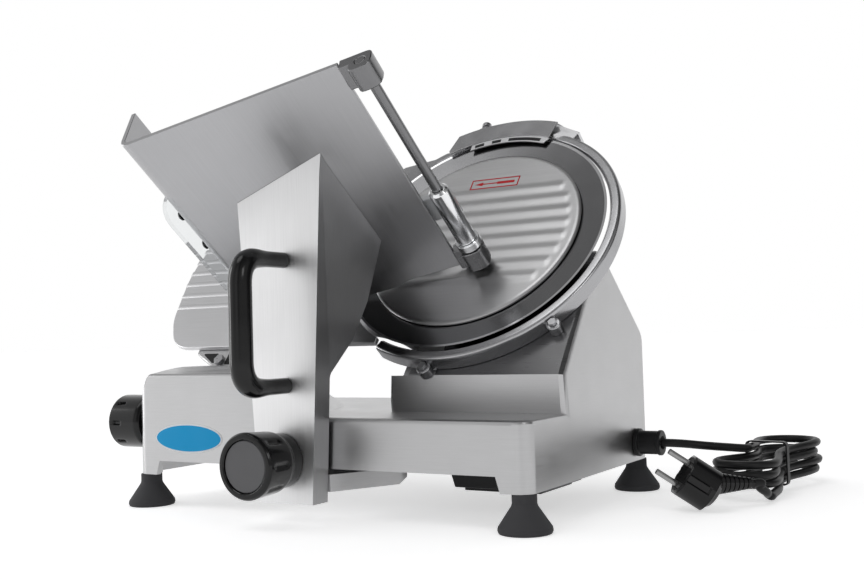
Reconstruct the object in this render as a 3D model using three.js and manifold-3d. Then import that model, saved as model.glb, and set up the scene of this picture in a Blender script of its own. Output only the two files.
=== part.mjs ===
// Electric gravity-feed food slicer with an inclined 250 mm blade.
// Built with X along the base (zero at its right face, the operator's side negative),
// Y from the front face backwards and Z up from the floor, in millimetres.
// The finished group is moved so that the middle of its underside is the origin.

import * as THREE from 'three';
import { mergeVertices } from 'three/addons/utils/BufferGeometryUtils.js';
import Module from 'manifold-3d';

const wasm = await Module();
wasm.setup();

// ---- Clearances ----
const seatGap = 0.3; // between pieces that touch
const slideGap = 0.4; // round pieces that slide or turn in their guides
const runGap = 1.2; // beside moving pieces that touch nothing
const overrun = 3; // how far a cut runs past the face it opens

// ---- Angles, in degrees ----
const bladeTilt = 38.24; // blade plane from upright
const traySlope = 16.29; // tray floor across the blade plane

// ---- Base casting ----
const baseLength = 395;
const baseDepth = 252;
const baseBottom = 28.6; // underside of the casting, on its feet
const skirtBottom = 41; // front and rear skirt between the legs
const plinthTop = 82;
const baseWall = 5;
const baseCorner = 12; // rounded upright corners
const plinthEdge = 4; // rounded top edge
const legWidth = 24.4;
const legDraft = 3.6;
const blockDepth = 128; // raised block at the operator's end
const blockTop = 124;
const blockFrontTop = 118;
const blockCrest = 31; // distance back to the crest
const blockFlat = 72; // length of its flat top
const blockRampEnd = 250; // where the ramp meets the plinth, from the right face
const blockShoulder = 18;
const blockRoof = 27; // metal over the hollow, below the gauge pocket
const pocketMargin = 3; // round the gauge bracket
const housingLength = 160; // motor housing, from the right face
const housingFoot = 70; // front of the housing at the plinth
const housingKnee = 67; // front of the housing where it starts to lean
const housingKneeHeight = 113;
const housingTopBelowAxis = 6; // top face below the blade axis
const housingFaceBack = 16.8; // leaning face behind the blade plane
const housingRear = 250;
const housingRearTop = 138;
const housingEdge = 5; // rounded left and right edges
const housingRound = 16; // rounded top corners
const housingDraft = 5;
const cornerPost = 10; // radius of the foot bosses
const footInset = 9;
const railPad = 9; // radius of the bosses behind the rail ends

// ---- Rubber feet ----
const footRadius = 20.6;
const footRim = 4;
const footStem = 9;
const footStemHeight = 8;

// ---- Electrical cover under the base ----
const coverRight = 15; // from the right face
const coverLength = 100;
const coverFront = 76;
const coverDepth = 74;
const coverBottom = 16.5;
const coverTop = 47;
const coverSlant = 9;
const coverSheet = 2;
const coverInset = 6;
const coverPlate = 3;

// ---- Blade, cover and hub ----
const bladeDiameter = 250;
const bladeFromRight = 117;
const bladeFromFront = 141.6;
const bladeAxisHeight = 234.8;
const bladeBore = 15;
const bladeFace = 6; // front of the flat web behind the edge plane
const bladeWeb = 4;
const bladeBevel = 5.5;
const bladeEdgeBack = 4.2;
const bladeSeat = 98; // radius of the flat web
const bladeLand = 20; // width of the hollow-ground land
const coverRadius = 101.5;
const coverProud = 0.5; // cover face in front of the edge plane
const coverRim = 2;
const coverBack = 4.5;
const coverStep = 11;
const coverBoss = 12;
const coverBossEnd = 9.5;
const coverRibs = 8;
const coverRibPitch = 15;
const coverRibWidth = 6;
const coverRibRise = 0.7;
const coverRibMargin = 9;
const hubFlange = 34;
const hubFlangeThickness = 5;
const shaftRadius = 12;
const shaftBore = 5;
const bearingRadius = 20;
const bearingLength = 16;
const bladePulley = 30;
const motorPulley = 12;
const pulleyWidth = 11;
const pulleyRim = 2;
const beltThickness = 2.5;
const beltWidth = 8;
const bossRadius = 49; // bearing boss of the housing
const bossDepth = 47;
const chamberRadius = 44;
const chamberLength = 22;
const chamberStart = 20; // behind the leaning face
const motorAcross = 55; // motor axis to the right of the blade axis
const motorBelow = 78;
const motorRadius = 42;
const motorLength = 74;
const motorShaft = 6;
const motorPost = 5;
const motorPostCircle = 34;
const tieRodRadius = 3;
const rearKnobRadius = 13;
const rearKnobLength = 17;
const rodLugRadius = 9; // lug on the housing that the rear knob draws up to
const rodLugLength = 24;

// ---- Ring guard ----
const ringInner = 126.4;
const ringOuter = 136.5;
const ringFront = 1.5; // behind the edge plane
const ringStart = -115.5; // degrees, round from the right
const ringEnd = 125;
const wingEnd = 150;
const wingLap = 6; // degrees that the wing laps the ring
const wingThickness = 4;
const wingTopX = 111;
const wingTopRise = 105;
const wingTipX = 134;
const wingTipRise = 88;
const lugRadius = 11;
const lugCircle = 147.5;
const lugRight = -44.5; // degrees
const lugLeft = -93;
const lugThickness = 9;
const lugScrew = 4.5;
const lugScrewHead = 3;

// ---- Sharpener on top of the ring ----
const hoodOuter = 147.5;
const hoodFront = 10; // in front of the edge plane
const hoodDepth = 34;
const hoodStart = 60; // degrees
const hoodEnd = 113;
const hoodSkin = 2.5;
const hoodFace = 128.5; // lowest radius of the hood's front face
const ringBackPlate = 3;
const stoneCircle = 132;
const stoneRadius = 10;
const stoneWidth = 5;
const stoneStroke = 1.5;
const grindingTurn = 79; // degrees
const honingTurn = 94;
const stoneSpindle = 3.5;
const sharpBodyBack = 46;
const sharpBodyOuter = 143;
const sharpBodyMargin = 6; // degrees inside the hood's ends
const lockTurn = 105; // degrees round to the hood's lock screw
const stoneButton = 9;
const stoneButtonLength = 8;
const sharpLockRadius = 5.5;
const sharpLockHeight = 12;

// ---- Gauge plate ----
const gaugeThickness = 5;
const gaugeTop = 95;
const gaugeLeft = 329;
const gaugeClear = 127.6; // radius of its edge round the blade
const gaugeBottom = 119;
const gaugeRight = 60;
const gaugeRibs = 9;
const gaugeRibPitch = 15;
const gaugeRibWidth = 3.4;
const gaugeRibRise = 1;
const gaugeRibStart = 55; // lowest rib below the blade axis
const gaugeTravel = 15;
const bracketLeft = 268;
const bracketRight = 112;
const bracketDrop = 20; // below the plate's lower edge
const bracketLap = 19; // behind the plate
const bracketChamfer = 29;
const bracketThickness = 9;
const supportAcross = 205; // from the blade axis
const supportLength = 42;
const supportWidth = 17;
const supportReach = 56;
const gaugeBolt = 5.5;
const gaugeBoltHead = 3.5;
const gaugeBoltInset = 26;

// ---- Thickness knob on the operator's end ----
const dialRadius = 24.5;
const dialLength = 29;
const dialFromFront = 25;
const dialHeight = 74;
const dialFlutes = 12;
const dialFlute = 4.5;
const dialSpindle = 5;
const dialSpindleLength = 46;

// ---- Switches on the operator's end ----
const switchWidth = 44;
const switchHeight = 26;
const switchThickness = 2.5;
const switchFromFront = 195;
const switchCentre = 62;
const buttonRadius = 7;
const buttonFlange = 1.6;
const buttonProud = 5;
const buttonStroke = 3;
const buttonSpacing = 20;

// ---- Carriage ----
const travelLeft = 95; // how far the carriage runs from its place here
const travelRight = 105;
const railFromFront = 45;
const railHeight = 57;
const railRadius = 6;
const guideFromFront = 62;
const guideHeight = 50;
const guideSize = 6;
const runnerLength = 66;
const runnerFront = 30;
const runnerBack = 70;
const runnerTop = 68;
const runnerBottom = 38;
const carriageCentre = 205; // from the right face
const footPlate = 14; // height of the foot casting
const footPlateBottom = 23;
const footPlateBack = 68;
const footPlateNarrow = 60;
const footPlateWide = 132;
const footPlateFlare = 5; // where the flare starts, behind the front skirt
const footPlateTip = 5;
const armFace = 22.7; // front of the arm, ahead of the base
const armWall = 5;
const armBottom = 15.1;
const armTopLeft = 248.7; // all four corners from the right face
const armTopRight = 162.4;
const armFoldRight = 178.5;
const armFoldLeft = 232.1;
const armFoldHeight = 142;
const armElbow = 220.6; // left edge bends here
const armElbowLeft = 246.6;
const armHeight = 310; // taller than the tray, trimmed to it
const armLean = 0.084; // side walls open towards the back
const armRise = 0.1075; // and upwards
const armBackTop = 59.8;
const armBackTopHeight = 229;
const armBackMid = 43.6;
const armBackMidHeight = 176;
const armBackLow = 25.2;
const armBackLowHeight = 144.5;
const armReturn = 19.6; // depth of the return flange low down
const armReturnHeight = 104;
const armLeftLow = 150; // left side wall clears the raised block
const armLeftReturn = 128;
const armPad = 9; // pad between the arm and the foot casting

// ---- D handle and front lock knob ----
const gripAcross = 202; // from the right face
const gripTop = 210;
const gripBottom = 107.4;
const gripReach = 47.3;
const gripRadius = 8.75;
const gripLeg = 6;
const gripRose = 9;
const gripRoseHeight = 4;
const lockAcross = 209;
const lockHeight = 49.5;
const lockRadius = 26.2;
const lockNeck = 22;
const lockLength = 45;
const lockDisc = 21;
const lockLobes = 10;
const lockFlute = 5;
const lockStud = 5;

// ---- Food tray, in its own frame on the blade axis ----
const trayUnder = 40.9; // underside below the blade axis
const traySheet = 4;
const trayRight = 7.6;
const trayLeft = 206.4;
const trayLow = 3; // lower edge in front of the blade plane
const trayLowSetback = 4;
const trayLowCorner = 58;
const trayHigh = 232;
const trayNotch = 12; // recess of the right edge behind the clamps
const trayClampRun = 22;
const trayFlange = 44;
const trayBend = 9;
const trayRibs = 12;
const trayRibPitch = 15;
const trayRibWidth = 3.4;
const trayRibRise = 1;
const trayRibStart = 186;
const trayRibEnd = 14;

// ---- Pusher ----
const rodAcross = 10.5;
const rodBelow = 43;
const rodRadius = 4.2;
const rodTop = 231;
const clampBlock = 21;
const clampRadius = 9.5;
const clampFoot = 3.2;
const sleeveRadius = 8.65;
const sleeveTop = 96;
const sleeveBottom = 29;
const collarRadius = 11;
const collarLength = 7;
const pusherTravel = 112;
const pusherPlateLeft = 192;
const pusherPlateRight = 22;
const pusherPlateHeight = 76;
const pusherPlateThickness = 7;
const pusherPlateRest = 2; // above the tray ribs
const pusherPlateBack = 52; // face in front of the blade plane
const pusherCorner = 26;
const pusherArmWidth = 26;
const pusherArmThickness = 8;
const toothRows = 4;
const toothColumns = 9;
const toothPitch = 16;
const toothSize = 4.5;
const toothLength = 6;
const pusherGripRadius = 15;
const pusherGripLength = 84;

// ---- Transparent hand guard ----
const shieldThickness = 4;
const shieldTop = 167;
const shieldBottom = 5;
const shieldDrop = 9.6; // below the tray's underside
const shieldHeight = 52;
const shieldScrew = 5;
const shieldScrewHead = 3;
const shieldScrewHigh = 142;
const shieldScrewLow = 105;

// ---- Slice deflector behind the blade ----
const deflectorSheet = 1.5;
const deflectorReach = 58;
const deflectorBack = 46;
const deflectorFront = 23;
const deflectorLow = 92;
const deflectorHigh = 22;

// ---- Mains cord ----
const cordDiameter = 7.3;
const glandFromFront = 222;
const glandHeight = 45;
const glandFlange = 12;
const glandFlangeThickness = 4;
const glandBody = 10;
const glandLength = 24;
const hankX = 101;
const hankY = 278;
const hankTurn = 7; // degrees from the Y axis
const hankRun = 104;
const hankFold = 26.5; // half width of the widest loop
const hankNarrow = 23.5;
const hankWaist = 13.5;
const hankLayers = 4;
const hankPitch = 7.9;
const hankLoopSteps = 24;
const hankSides = 6;
const hankEndShare = 0.36; // of a loop left off at the end
const leadInSlack = [[42, 224, 44.5], [58, 232, 42.5], [72, 247, 40]];
const leadOutSlack = [[118, 207, 6.4], [119, 196, 10], [116, 187.5, 15.5]];
const tieWidth = 6;
const tieSheet = 1.4;
const plugX = 78;
const plugY = 148;
const plugHeight = 21;
const plugRadius = 18.5;
const plugLength = 30;
const plugNeck = 8;
const plugReliefLength = 30;
const plugPinShares = [-0.71, -0.43, 0.56]; // way the pins point
const plugReliefShares = [0.7, 0.7, -0.05]; // way the cord leaves
const pinRadius = 2.4;
const pinLength = 19;
const pinSpacing = 19;

// ---- Counts of facets ----
const fine = 60; // facets round the blade
const medium = 24;
const coarse = 16;
const small = 10;

// ---- Finishes ----
const finish = (color, roughness, metalness, opacity = 1) =>
  new THREE.MeshStandardMaterial({ color, roughness, metalness, opacity, transparent: opacity < 1 });
const castAluminium = () => finish(0xc9ccd0, 0.42, 0.75);
const brightPanel = () => finish(0xe6e8ea, 0.3, 0.6);
const steel = () => finish(0xd4d7da, 0.18, 1);
const darkSteel = () => finish(0x8f9398, 0.35, 0.9);
const blackPlastic = () => finish(0x0d0e10, 0.2, 0);
const blackRubber = () => finish(0x17181a, 0.75, 0);
const greyPlastic = () => finish(0xa9adb2, 0.45, 0.1);
const abrasive = () => finish(0xb9b2a4, 0.95, 0);
const clearPlastic = () => finish(0xdfe8ec, 0.08, 0, 0.3);
const redPlastic = () => finish(0xb3201c, 0.35, 0);
const greenPlastic = () => finish(0x1f8a45, 0.35, 0);

// ---- Solid helpers ----

// Drops all but position, welds shared vertices, drops empty faces and turns the skin outwards.
function closed(source) {
  let geometry = source.clone();
  for (const name of Object.keys(geometry.attributes)) {
    if (name !== 'position') geometry.deleteAttribute(name);
  }
  geometry = mergeVertices(geometry, 1e-4);
  const position = geometry.attributes.position;
  const faces = [];
  const a = new THREE.Vector3();
  const b = new THREE.Vector3();
  const c = new THREE.Vector3();
  let volume = 0;
  for (let i = 0; i < geometry.index.count; i += 3) {
    const face = [0, 1, 2].map((k) => geometry.index.getX(i + k));
    if (face[0] === face[1] || face[1] === face[2] || face[2] === face[0]) continue;
    faces.push(face);
    a.fromBufferAttribute(position, face[0]);
    b.fromBufferAttribute(position, face[1]);
    c.fromBufferAttribute(position, face[2]);
    volume += a.dot(b.cross(c));
  }
  const order = volume < 0 ? [0, 2, 1] : [0, 1, 2];
  geometry.setIndex(faces.flatMap((face) => order.map((k) => face[k])));
  return geometry;
}

function toManifold(geometry) {
  const skin = closed(geometry);
  return new wasm.Manifold(new wasm.Mesh({
    numProp: 3,
    vertProperties: new Float32Array(skin.attributes.position.array),
    triVerts: new Uint32Array(skin.index.array),
  }));
}

function fromManifold(body) {
  const mesh = body.getMesh();
  const geometry = new THREE.BufferGeometry();
  geometry.setAttribute('position', new THREE.BufferAttribute(new Float32Array(mesh.vertProperties), 3));
  geometry.setIndex(Array.from(mesh.triVerts));
  return geometry;
}

const join = (...pieces) => pieces.map(toManifold).reduce((sum, next) => sum.add(next));
const cut = (body, ...pieces) => pieces.map(toManifold).reduce((rest, next) => rest.subtract(next), body);
const common = (...pieces) => pieces.map(toManifold).reduce((sum, next) => sum.intersect(next));

// Shape with its corners rounded: each corner is [x, y] or [x, y, radius].
function outline(corners, steps = 4) {
  const points = [];
  corners.forEach(([x, y, radius = 0], i) => {
    const here = new THREE.Vector2(x, y);
    if (radius <= 0) {
      points.push(here);
      return;
    }
    const before = new THREE.Vector2(...corners[(i + corners.length - 1) % corners.length]);
    const after = new THREE.Vector2(...corners[(i + 1) % corners.length]);
    const back = before.sub(here);
    const on = after.sub(here);
    const half = Math.acos(THREE.MathUtils.clamp(back.dot(on) / (back.length() * on.length()), -1, 1)) / 2;
    const reach = Math.min(radius / Math.tan(half), back.length() / 2, on.length() / 2);
    const start = back.clone().setLength(reach).add(here);
    const end = on.clone().setLength(reach).add(here);
    const bend = new THREE.QuadraticBezierCurve(start, here, end);
    points.push(...bend.getPoints(steps));
  });
  return new THREE.Shape(points);
}

const circle = (radius, x = 0, y = 0, steps = medium) => new THREE.Shape(
  Array.from({ length: steps }, (_, i) => new THREE.Vector2(
    x + radius * Math.cos((i / steps) * 2 * Math.PI),
    y + radius * Math.sin((i / steps) * 2 * Math.PI),
  )),
);

const arcPoints = (radius, from, to, steps) => Array.from({ length: steps + 1 }, (_, i) => {
  const turn = THREE.MathUtils.degToRad(from + ((to - from) * i) / steps);
  return [radius * Math.cos(turn), radius * Math.sin(turn)];
});

const extruded = (shape, depth, options = {}) =>
  new THREE.ExtrudeGeometry(shape, { depth, steps: 1, bevelEnabled: false, ...options });

// A shape drawn in X and Z, swept along Y from one place to another.
function sweptY(shape, from, to, options) {
  const geometry = extruded(shape, to - from, options);
  return geometry.rotateX(Math.PI / 2).translate(0, to, 0);
}

// A shape drawn in Y and Z, swept along X.
function sweptX(shape, from, to, options) {
  const turn = new THREE.Matrix4().makeBasis(
    new THREE.Vector3(0, 1, 0),
    new THREE.Vector3(0, 0, 1),
    new THREE.Vector3(1, 0, 0),
  );
  return extruded(shape, to - from, options).applyMatrix4(turn).translate(from, 0, 0);
}

// A shape drawn in X and Y, swept upwards.
const sweptZ = (shape, from, to, options) => extruded(shape, to - from, options).translate(0, 0, from);

// A turned solid: the profile holds [radius, place along the axis].
function turned(profile, axis, steps = medium) {
  const geometry = new THREE.LatheGeometry(profile.map(([r, h]) => new THREE.Vector2(r, h)), steps);
  if (axis === 'x') geometry.rotateZ(-Math.PI / 2);
  if (axis === 'z') geometry.rotateX(Math.PI / 2);
  return geometry;
}

const disc = (radius, from, to, axis, steps = medium) =>
  turned([[0, from], [radius, from], [radius, to], [0, to]], axis, steps);

const ringTurned = (inner, outer, from, to, axis, steps = medium) =>
  turned([[inner, from], [outer, from], [outer, to], [inner, to], [inner, from]], axis, steps);

const box = (x0, x1, y0, y1, z0, z1) =>
  new THREE.BoxGeometry(x1 - x0, y1 - y0, z1 - z0).translate((x0 + x1) / 2, (y0 + y1) / 2, (z0 + z1) / 2);

// A skin through closed rings of points with the same count, capped at both ends.
function loft(rings) {
  const count = rings[0].length;
  const points = rings.flat();
  const faces = [];
  for (let i = 0; i + 1 < rings.length; i += 1) {
    for (let k = 0; k < count; k += 1) {
      const next = (k + 1) % count;
      const low = i * count;
      const high = low + count;
      faces.push(low + k, low + next, high + next, low + k, high + next, high + k);
    }
  }
  const cap = (ring, start, flip) => {
    const centre = ring.reduce((sum, p) => sum.add(p), new THREE.Vector3()).divideScalar(count);
    const normal = new THREE.Vector3();
    ring.forEach((p, k) => normal.add(p.clone().sub(centre).cross(ring[(k + 1) % count].clone().sub(centre))));
    normal.normalize();
    const across = ring[0].clone().sub(centre).normalize();
    const up = normal.clone().cross(across);
    const flat = ring.map((p) => new THREE.Vector2(p.clone().sub(centre).dot(across), p.clone().sub(centre).dot(up)));
    THREE.ShapeUtils.triangulateShape(flat, []).forEach(([p, q, r]) => {
      faces.push(...(flip ? [start + p, start + r, start + q] : [start + p, start + q, start + r]));
    });
  };
  cap(rings[0], 0, true);
  cap(rings[rings.length - 1], (rings.length - 1) * count, false);
  const geometry = new THREE.BufferGeometry();
  geometry.setAttribute('position', new THREE.Float32BufferAttribute(points.flatMap((p) => p.toArray()), 3));
  geometry.setIndex(faces);
  return geometry;
}

const at = (geometry, x, y, z) => geometry.translate(x, y, z);

function mesh(name, geometry, material) {
  const skin = geometry.isBufferGeometry ? closed(geometry) : closed(fromManifold(geometry));
  skin.computeVertexNormals();
  const piece = new THREE.Mesh(skin, material);
  piece.name = name;
  return piece;
}

// ---- Frames ----
const whole = new THREE.Group();
const tilt = new THREE.Group(); // X along the base, Y along the blade axis backwards, Z up the blade plane
tilt.position.set(-bladeFromRight, bladeFromFront, bladeAxisHeight);
tilt.rotation.x = -THREE.MathUtils.degToRad(bladeTilt);
whole.add(tilt);
const slope = new THREE.Group(); // the blade frame turned about the blade axis to the tray's floor
slope.rotation.y = -THREE.MathUtils.degToRad(traySlope);
tilt.add(slope);
tilt.updateMatrix();
slope.updateMatrix();

const toBase = (geometry) => geometry.applyMatrix4(tilt.matrix);
const trayToBase = new THREE.Matrix4().multiplyMatrices(tilt.matrix, slope.matrix);
const tiltCos = Math.cos(THREE.MathUtils.degToRad(bladeTilt));
const tiltSin = Math.sin(THREE.MathUtils.degToRad(bladeTilt));
// Place in the base frame of a point given behind the blade plane and up it.
const backOf = (behind, up) => bladeFromFront + behind * tiltCos + up * tiltSin;
const heightOf = (behind, up) => bladeAxisHeight - behind * tiltSin + up * tiltCos;

// ---- Base casting ----
function planOutline(inset, z) {
  const r = Math.max(baseCorner - inset, inset / 2);
  const x0 = -baseLength + inset;
  const x1 = -inset;
  const y0 = inset;
  const y1 = baseDepth - inset;
  const corners = [[x1 - r, y1 - r, 0], [x0 + r, y1 - r, 90], [x0 + r, y0 + r, 180], [x1 - r, y0 + r, 270]];
  return corners.flatMap(([x, y, from]) =>
    arcPoints(r, from, from + 90, 4).map(([dx, dy]) => new THREE.Vector3(x + dx, y + dy, z)));
}

const plinth = loft([
  planOutline(0, baseBottom),
  planOutline(0, plinthTop - plinthEdge),
  planOutline(plinthEdge * 0.3, plinthTop - plinthEdge * 0.3),
  planOutline(plinthEdge, plinthTop),
]);

const blockEnd = -baseLength;
const blockSide = outline([
  [blockEnd, skirtBottom],
  [blockEnd, plinthTop],
  [blockEnd + blockShoulder * 0.42, plinthTop + (blockTop - plinthTop) * 0.52, blockShoulder],
  [blockEnd + blockShoulder, blockTop, blockShoulder],
  [blockEnd + blockFlat, blockTop, blockShoulder / 2],
  [-blockRampEnd, plinthTop, blockShoulder],
  [-blockRampEnd, skirtBottom],
]);
const blockFront = outline([
  [0, skirtBottom],
  [0, blockFrontTop, plinthEdge],
  [blockCrest, blockTop, plinthEdge],
  [blockDepth - plinthEdge, blockTop, blockShoulder],
  [blockDepth, skirtBottom],
]);
const block = common(
  sweptY(blockSide, 0, blockDepth),
  sweptX(blockFront, -baseLength, -blockRampEnd),
  loft([planOutline(0, skirtBottom), planOutline(0, blockTop + overrun)]),
);

const housingApex = [backOf(housingFaceBack, -housingTopBelowAxis), heightOf(housingFaceBack, -housingTopBelowAxis)];
const housingBackTop = bladeAxisHeight - (housingRear - bladeFromFront) * (tiltSin / tiltCos)
  - housingTopBelowAxis / tiltCos;
const housingShape = (inset) => outline([
  [housingFoot + inset, skirtBottom],
  [housingFoot + inset, plinthTop],
  [housingKnee + inset, housingKneeHeight - inset / 2],
  [
    housingApex[0] + inset * (tiltCos - tiltSin),
    housingApex[1] - inset * (tiltCos + tiltSin),
    housingRound - inset,
  ],
  [housingRear - inset, housingBackTop - inset * 1.5, housingRound - inset],
  [housingRear - inset, skirtBottom],
]);
const housingEnd = (inset) => outline([
  [-housingLength - housingDraft + inset, skirtBottom],
  [-housingLength - housingDraft + inset, plinthTop],
  [-housingLength + inset, housingKneeHeight],
  [-housingLength + inset, bladeAxisHeight],
  [-inset, bladeAxisHeight],
  [-inset, skirtBottom],
]);
const housing = common(
  sweptX(housingShape(0), -housingLength - housingDraft + housingEdge, -housingEdge, {
    bevelEnabled: true,
    bevelThickness: housingEdge,
    bevelSize: housingEdge,
    bevelOffset: -housingEdge,
    bevelSegments: 2,
  }),
  sweptY(housingEnd(0), housingKnee - overrun, housingRear + overrun),
);

const bossFront = housingFaceBack;
const bossBack = bossFront + bossDepth;
const hubBoss = toBase(turned([
  [0, bossFront],
  [bossRadius - plinthEdge, bossFront],
  [bossRadius, bossFront + plinthEdge],
  [bossRadius, bossBack - plinthEdge],
  [bossRadius - plinthEdge, bossBack],
  [0, bossBack],
], 'y'));

// Hollows, open at the underside.
const legGap = outline([
  [-baseLength + legWidth, baseBottom - overrun],
  [-baseLength + legWidth, baseBottom],
  [-baseLength + legWidth + legDraft, skirtBottom],
  [-legWidth - legDraft, skirtBottom],
  [-legWidth, baseBottom],
  [-legWidth, baseBottom - overrun],
]);
const plinthHollow = loft([
  planOutline(baseWall, baseBottom - overrun),
  planOutline(baseWall, plinthTop - baseWall),
]);
const blockHollow = common(
  sweptY(outline([
    [blockEnd + baseWall, skirtBottom],
    [blockEnd + baseWall, plinthTop],
    [blockEnd + baseWall * 2, blockTop - blockRoof],
    [blockEnd + blockFlat, blockTop - blockRoof],
    [-blockRampEnd - baseWall * 2, plinthTop - baseWall],
    [-blockRampEnd - baseWall * 2, skirtBottom],
  ]), baseWall, blockDepth - baseWall),
  loft([planOutline(baseWall, skirtBottom), planOutline(baseWall, blockTop)]),
);
const housingHollow = common(
  sweptX(housingShape(baseWall), -housingLength - housingDraft, -baseWall),
  sweptY(housingEnd(baseWall), housingKnee, housingRear),
);
const bearingStart = bossFront - overrun;
const bearingHollow = toBase(disc(bearingRadius + seatGap, bearingStart, bossFront + chamberStart, 'y'));
const chamber = toBase(disc(chamberRadius, bossFront + chamberStart, bossFront + chamberStart + chamberLength, 'y'));
const knobFront = (housingRear - bladeFromFront + rearKnobRadius * tiltSin) / tiltCos + runGap;
const rodLug = toBase(disc(rodLugRadius, knobFront - seatGap - rodLugLength, knobFront - seatGap, 'y', coarse));
const tieHole = toBase(disc(tieRodRadius + slideGap, bossFront, knobFront + overrun, 'y', coarse));

// Bosses and posts inside the shell.
const posts = [
  [-footInset, footInset],
  [-baseLength + footInset, footInset],
  [-footInset, baseDepth - footInset],
  [-baseLength + footInset, baseDepth - footInset],
].map(([x, y]) => common(
  disc(cornerPost, baseBottom, plinthTop - baseWall / 2, 'z', coarse).translate(x, y, 0),
  loft([planOutline(0, baseBottom), planOutline(0, plinthTop)]),
));
const railPads = [-baseLength + baseWall / 2, -baseWall * 2].map((x) => common(
  disc(railPad, x, x + baseWall * 1.5, 'x', coarse).translate(0, railFromFront, railHeight),
  loft([planOutline(0, baseBottom), planOutline(0, plinthTop)]),
));
const motorFront = bossFront + chamberStart + chamberLength;
const motorPosts = [35, -55, 215].map((degrees) => {
  const turn = THREE.MathUtils.degToRad(degrees);
  return toBase(disc(motorPost, bossFront + baseWall / 2, motorFront - seatGap, 'y', small).translate(
    motorAcross + motorPostCircle * Math.cos(turn),
    0,
    -motorBelow + motorPostCircle * Math.sin(turn),
  ));
});

// Openings in the shell: gauge recess and slot, knob spindle, switch plate and cord.
const gaugeBehind = gaugeThickness + seatGap;
const bracketBack = gaugeBehind + bracketThickness;
const bracketLow = -gaugeBottom - bracketDrop;
const supportRight = supportLength / 2 - supportAcross;
const supportLeft = -supportLength / 2 - supportAcross;
const pocket = toBase(box(
  -bracketLeft - pocketMargin,
  0,
  -pocketMargin,
  bracketBack + gaugeTravel + pocketMargin,
  bracketLow - pocketMargin,
  -gaugeBottom + bracketLap,
));
const supportSlot = toBase(box(
  supportLeft - slideGap,
  supportRight + slideGap,
  bracketBack,
  supportReach + gaugeTravel + blockDepth,
  bracketLow - slideGap,
  bracketLow + supportWidth + slideGap,
));
const supportSlotInBlock = common(
  supportSlot,
  box(-baseLength, -blockRampEnd, 0, blockDepth - baseWall, skirtBottom, blockTop + overrun),
);
const spindleHole = disc(dialSpindle + slideGap, -baseLength - overrun, -baseLength + baseWall + overrun, 'x', coarse)
  .translate(0, dialFromFront, dialHeight);
const buttonPlaces = [switchFromFront - buttonSpacing / 2, switchFromFront + buttonSpacing / 2];
const buttonHoles = buttonPlaces.map((y) =>
  disc(buttonRadius + slideGap, -baseLength - overrun, -baseLength + baseWall + overrun, 'x', coarse)
    .translate(0, y, switchCentre));

let casting = join(plinth, fromManifold(block), fromManifold(housing), hubBoss, rodLug);
casting = cut(casting, plinthHollow, fromManifold(blockHollow), fromManifold(housingHollow));
casting = cut(casting, bearingHollow, chamber, tieHole);
casting = cut(casting, sweptY(legGap, -overrun, baseDepth + overrun));
casting = [...posts, ...railPads].reduce((sum, next) => sum.add(next), casting);
casting = motorPosts.reduce((sum, next) => sum.add(toManifold(next)), casting);
casting = cut(casting, pocket, fromManifold(supportSlotInBlock), spindleHole, ...buttonHoles);
whole.add(mesh('base_casting', casting, castAluminium()));

// ---- Feet ----
const footProfile = [
  [0, 0],
  [footRadius - footRim / 4, 0],
  [footRadius, footRim / 4],
  [footRadius, footRim],
  [footRadius - footRim / 2, footRim * 1.4],
  [footStem + footRim / 2, baseBottom - footStemHeight - footRim / 2],
  [footStem, baseBottom - footStemHeight],
  [footStem, baseBottom - seatGap],
  [0, baseBottom - seatGap],
];
[
  ['foot_front_left', -baseLength + footInset, footInset],
  ['foot_front_right', -footInset, footInset],
  ['foot_rear_left', -baseLength + footInset, baseDepth - footInset],
  ['foot_rear_right', -footInset, baseDepth - footInset],
].forEach(([name, x, y]) => {
  whole.add(mesh(name, at(turned(footProfile, 'z', 20), x, y, 0), blackRubber()));
});

// ---- Electrical cover, a folded tray screwed under the motor ----
const coverLeftX = -coverRight - coverLength;
const coverShape = (inset) => outline([
  [coverLeftX + inset, coverTop + (inset > 0 ? overrun : 0)],
  [coverLeftX + coverSlant + inset, coverBottom + coverPlate + inset],
  [-coverRight - coverSlant - inset, coverBottom + coverPlate + inset],
  [-coverRight - inset, coverTop + (inset > 0 ? overrun : 0)],
]);
let electricalCover = join(
  sweptY(coverShape(0), coverFront, coverFront + coverDepth),
  box(
    coverLeftX + coverSlant + coverInset,
    -coverRight - coverSlant - coverInset,
    coverFront + coverInset,
    coverFront + coverDepth - coverInset,
    coverBottom,
    coverBottom + coverPlate + coverSheet / 2,
  ),
  box(-coverRight - coverSheet, -baseWall - seatGap, coverFront, coverFront + coverDepth, coverTop - coverSheet, coverTop),
);
electricalCover = cut(
  electricalCover,
  sweptY(coverShape(coverSheet), coverFront + coverSheet, coverFront + coverDepth - coverSheet),
);
whole.add(mesh('electrical_cover', electricalCover, blackPlastic()));

// ---- Motor, belt and blade drive ----
const chamberFront = bossFront + chamberStart;
const motorBack = motorFront + motorLength;
const motorBody = turned([
  [motorShaft + runGap, motorFront],
  [motorRadius - plinthEdge, motorFront],
  [motorRadius, motorFront + plinthEdge],
  [motorRadius, motorBack - plinthEdge * 2],
  [motorRadius - plinthEdge * 2, motorBack],
  [0, motorBack],
  [0, motorBack - motorLength / 2],
  [motorShaft + runGap, motorBack - motorLength / 2],
  [motorShaft + runGap, motorFront],
], 'y').translate(motorAcross, 0, -motorBelow);
tilt.add(mesh('motor', motorBody, darkSteel()));

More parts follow.
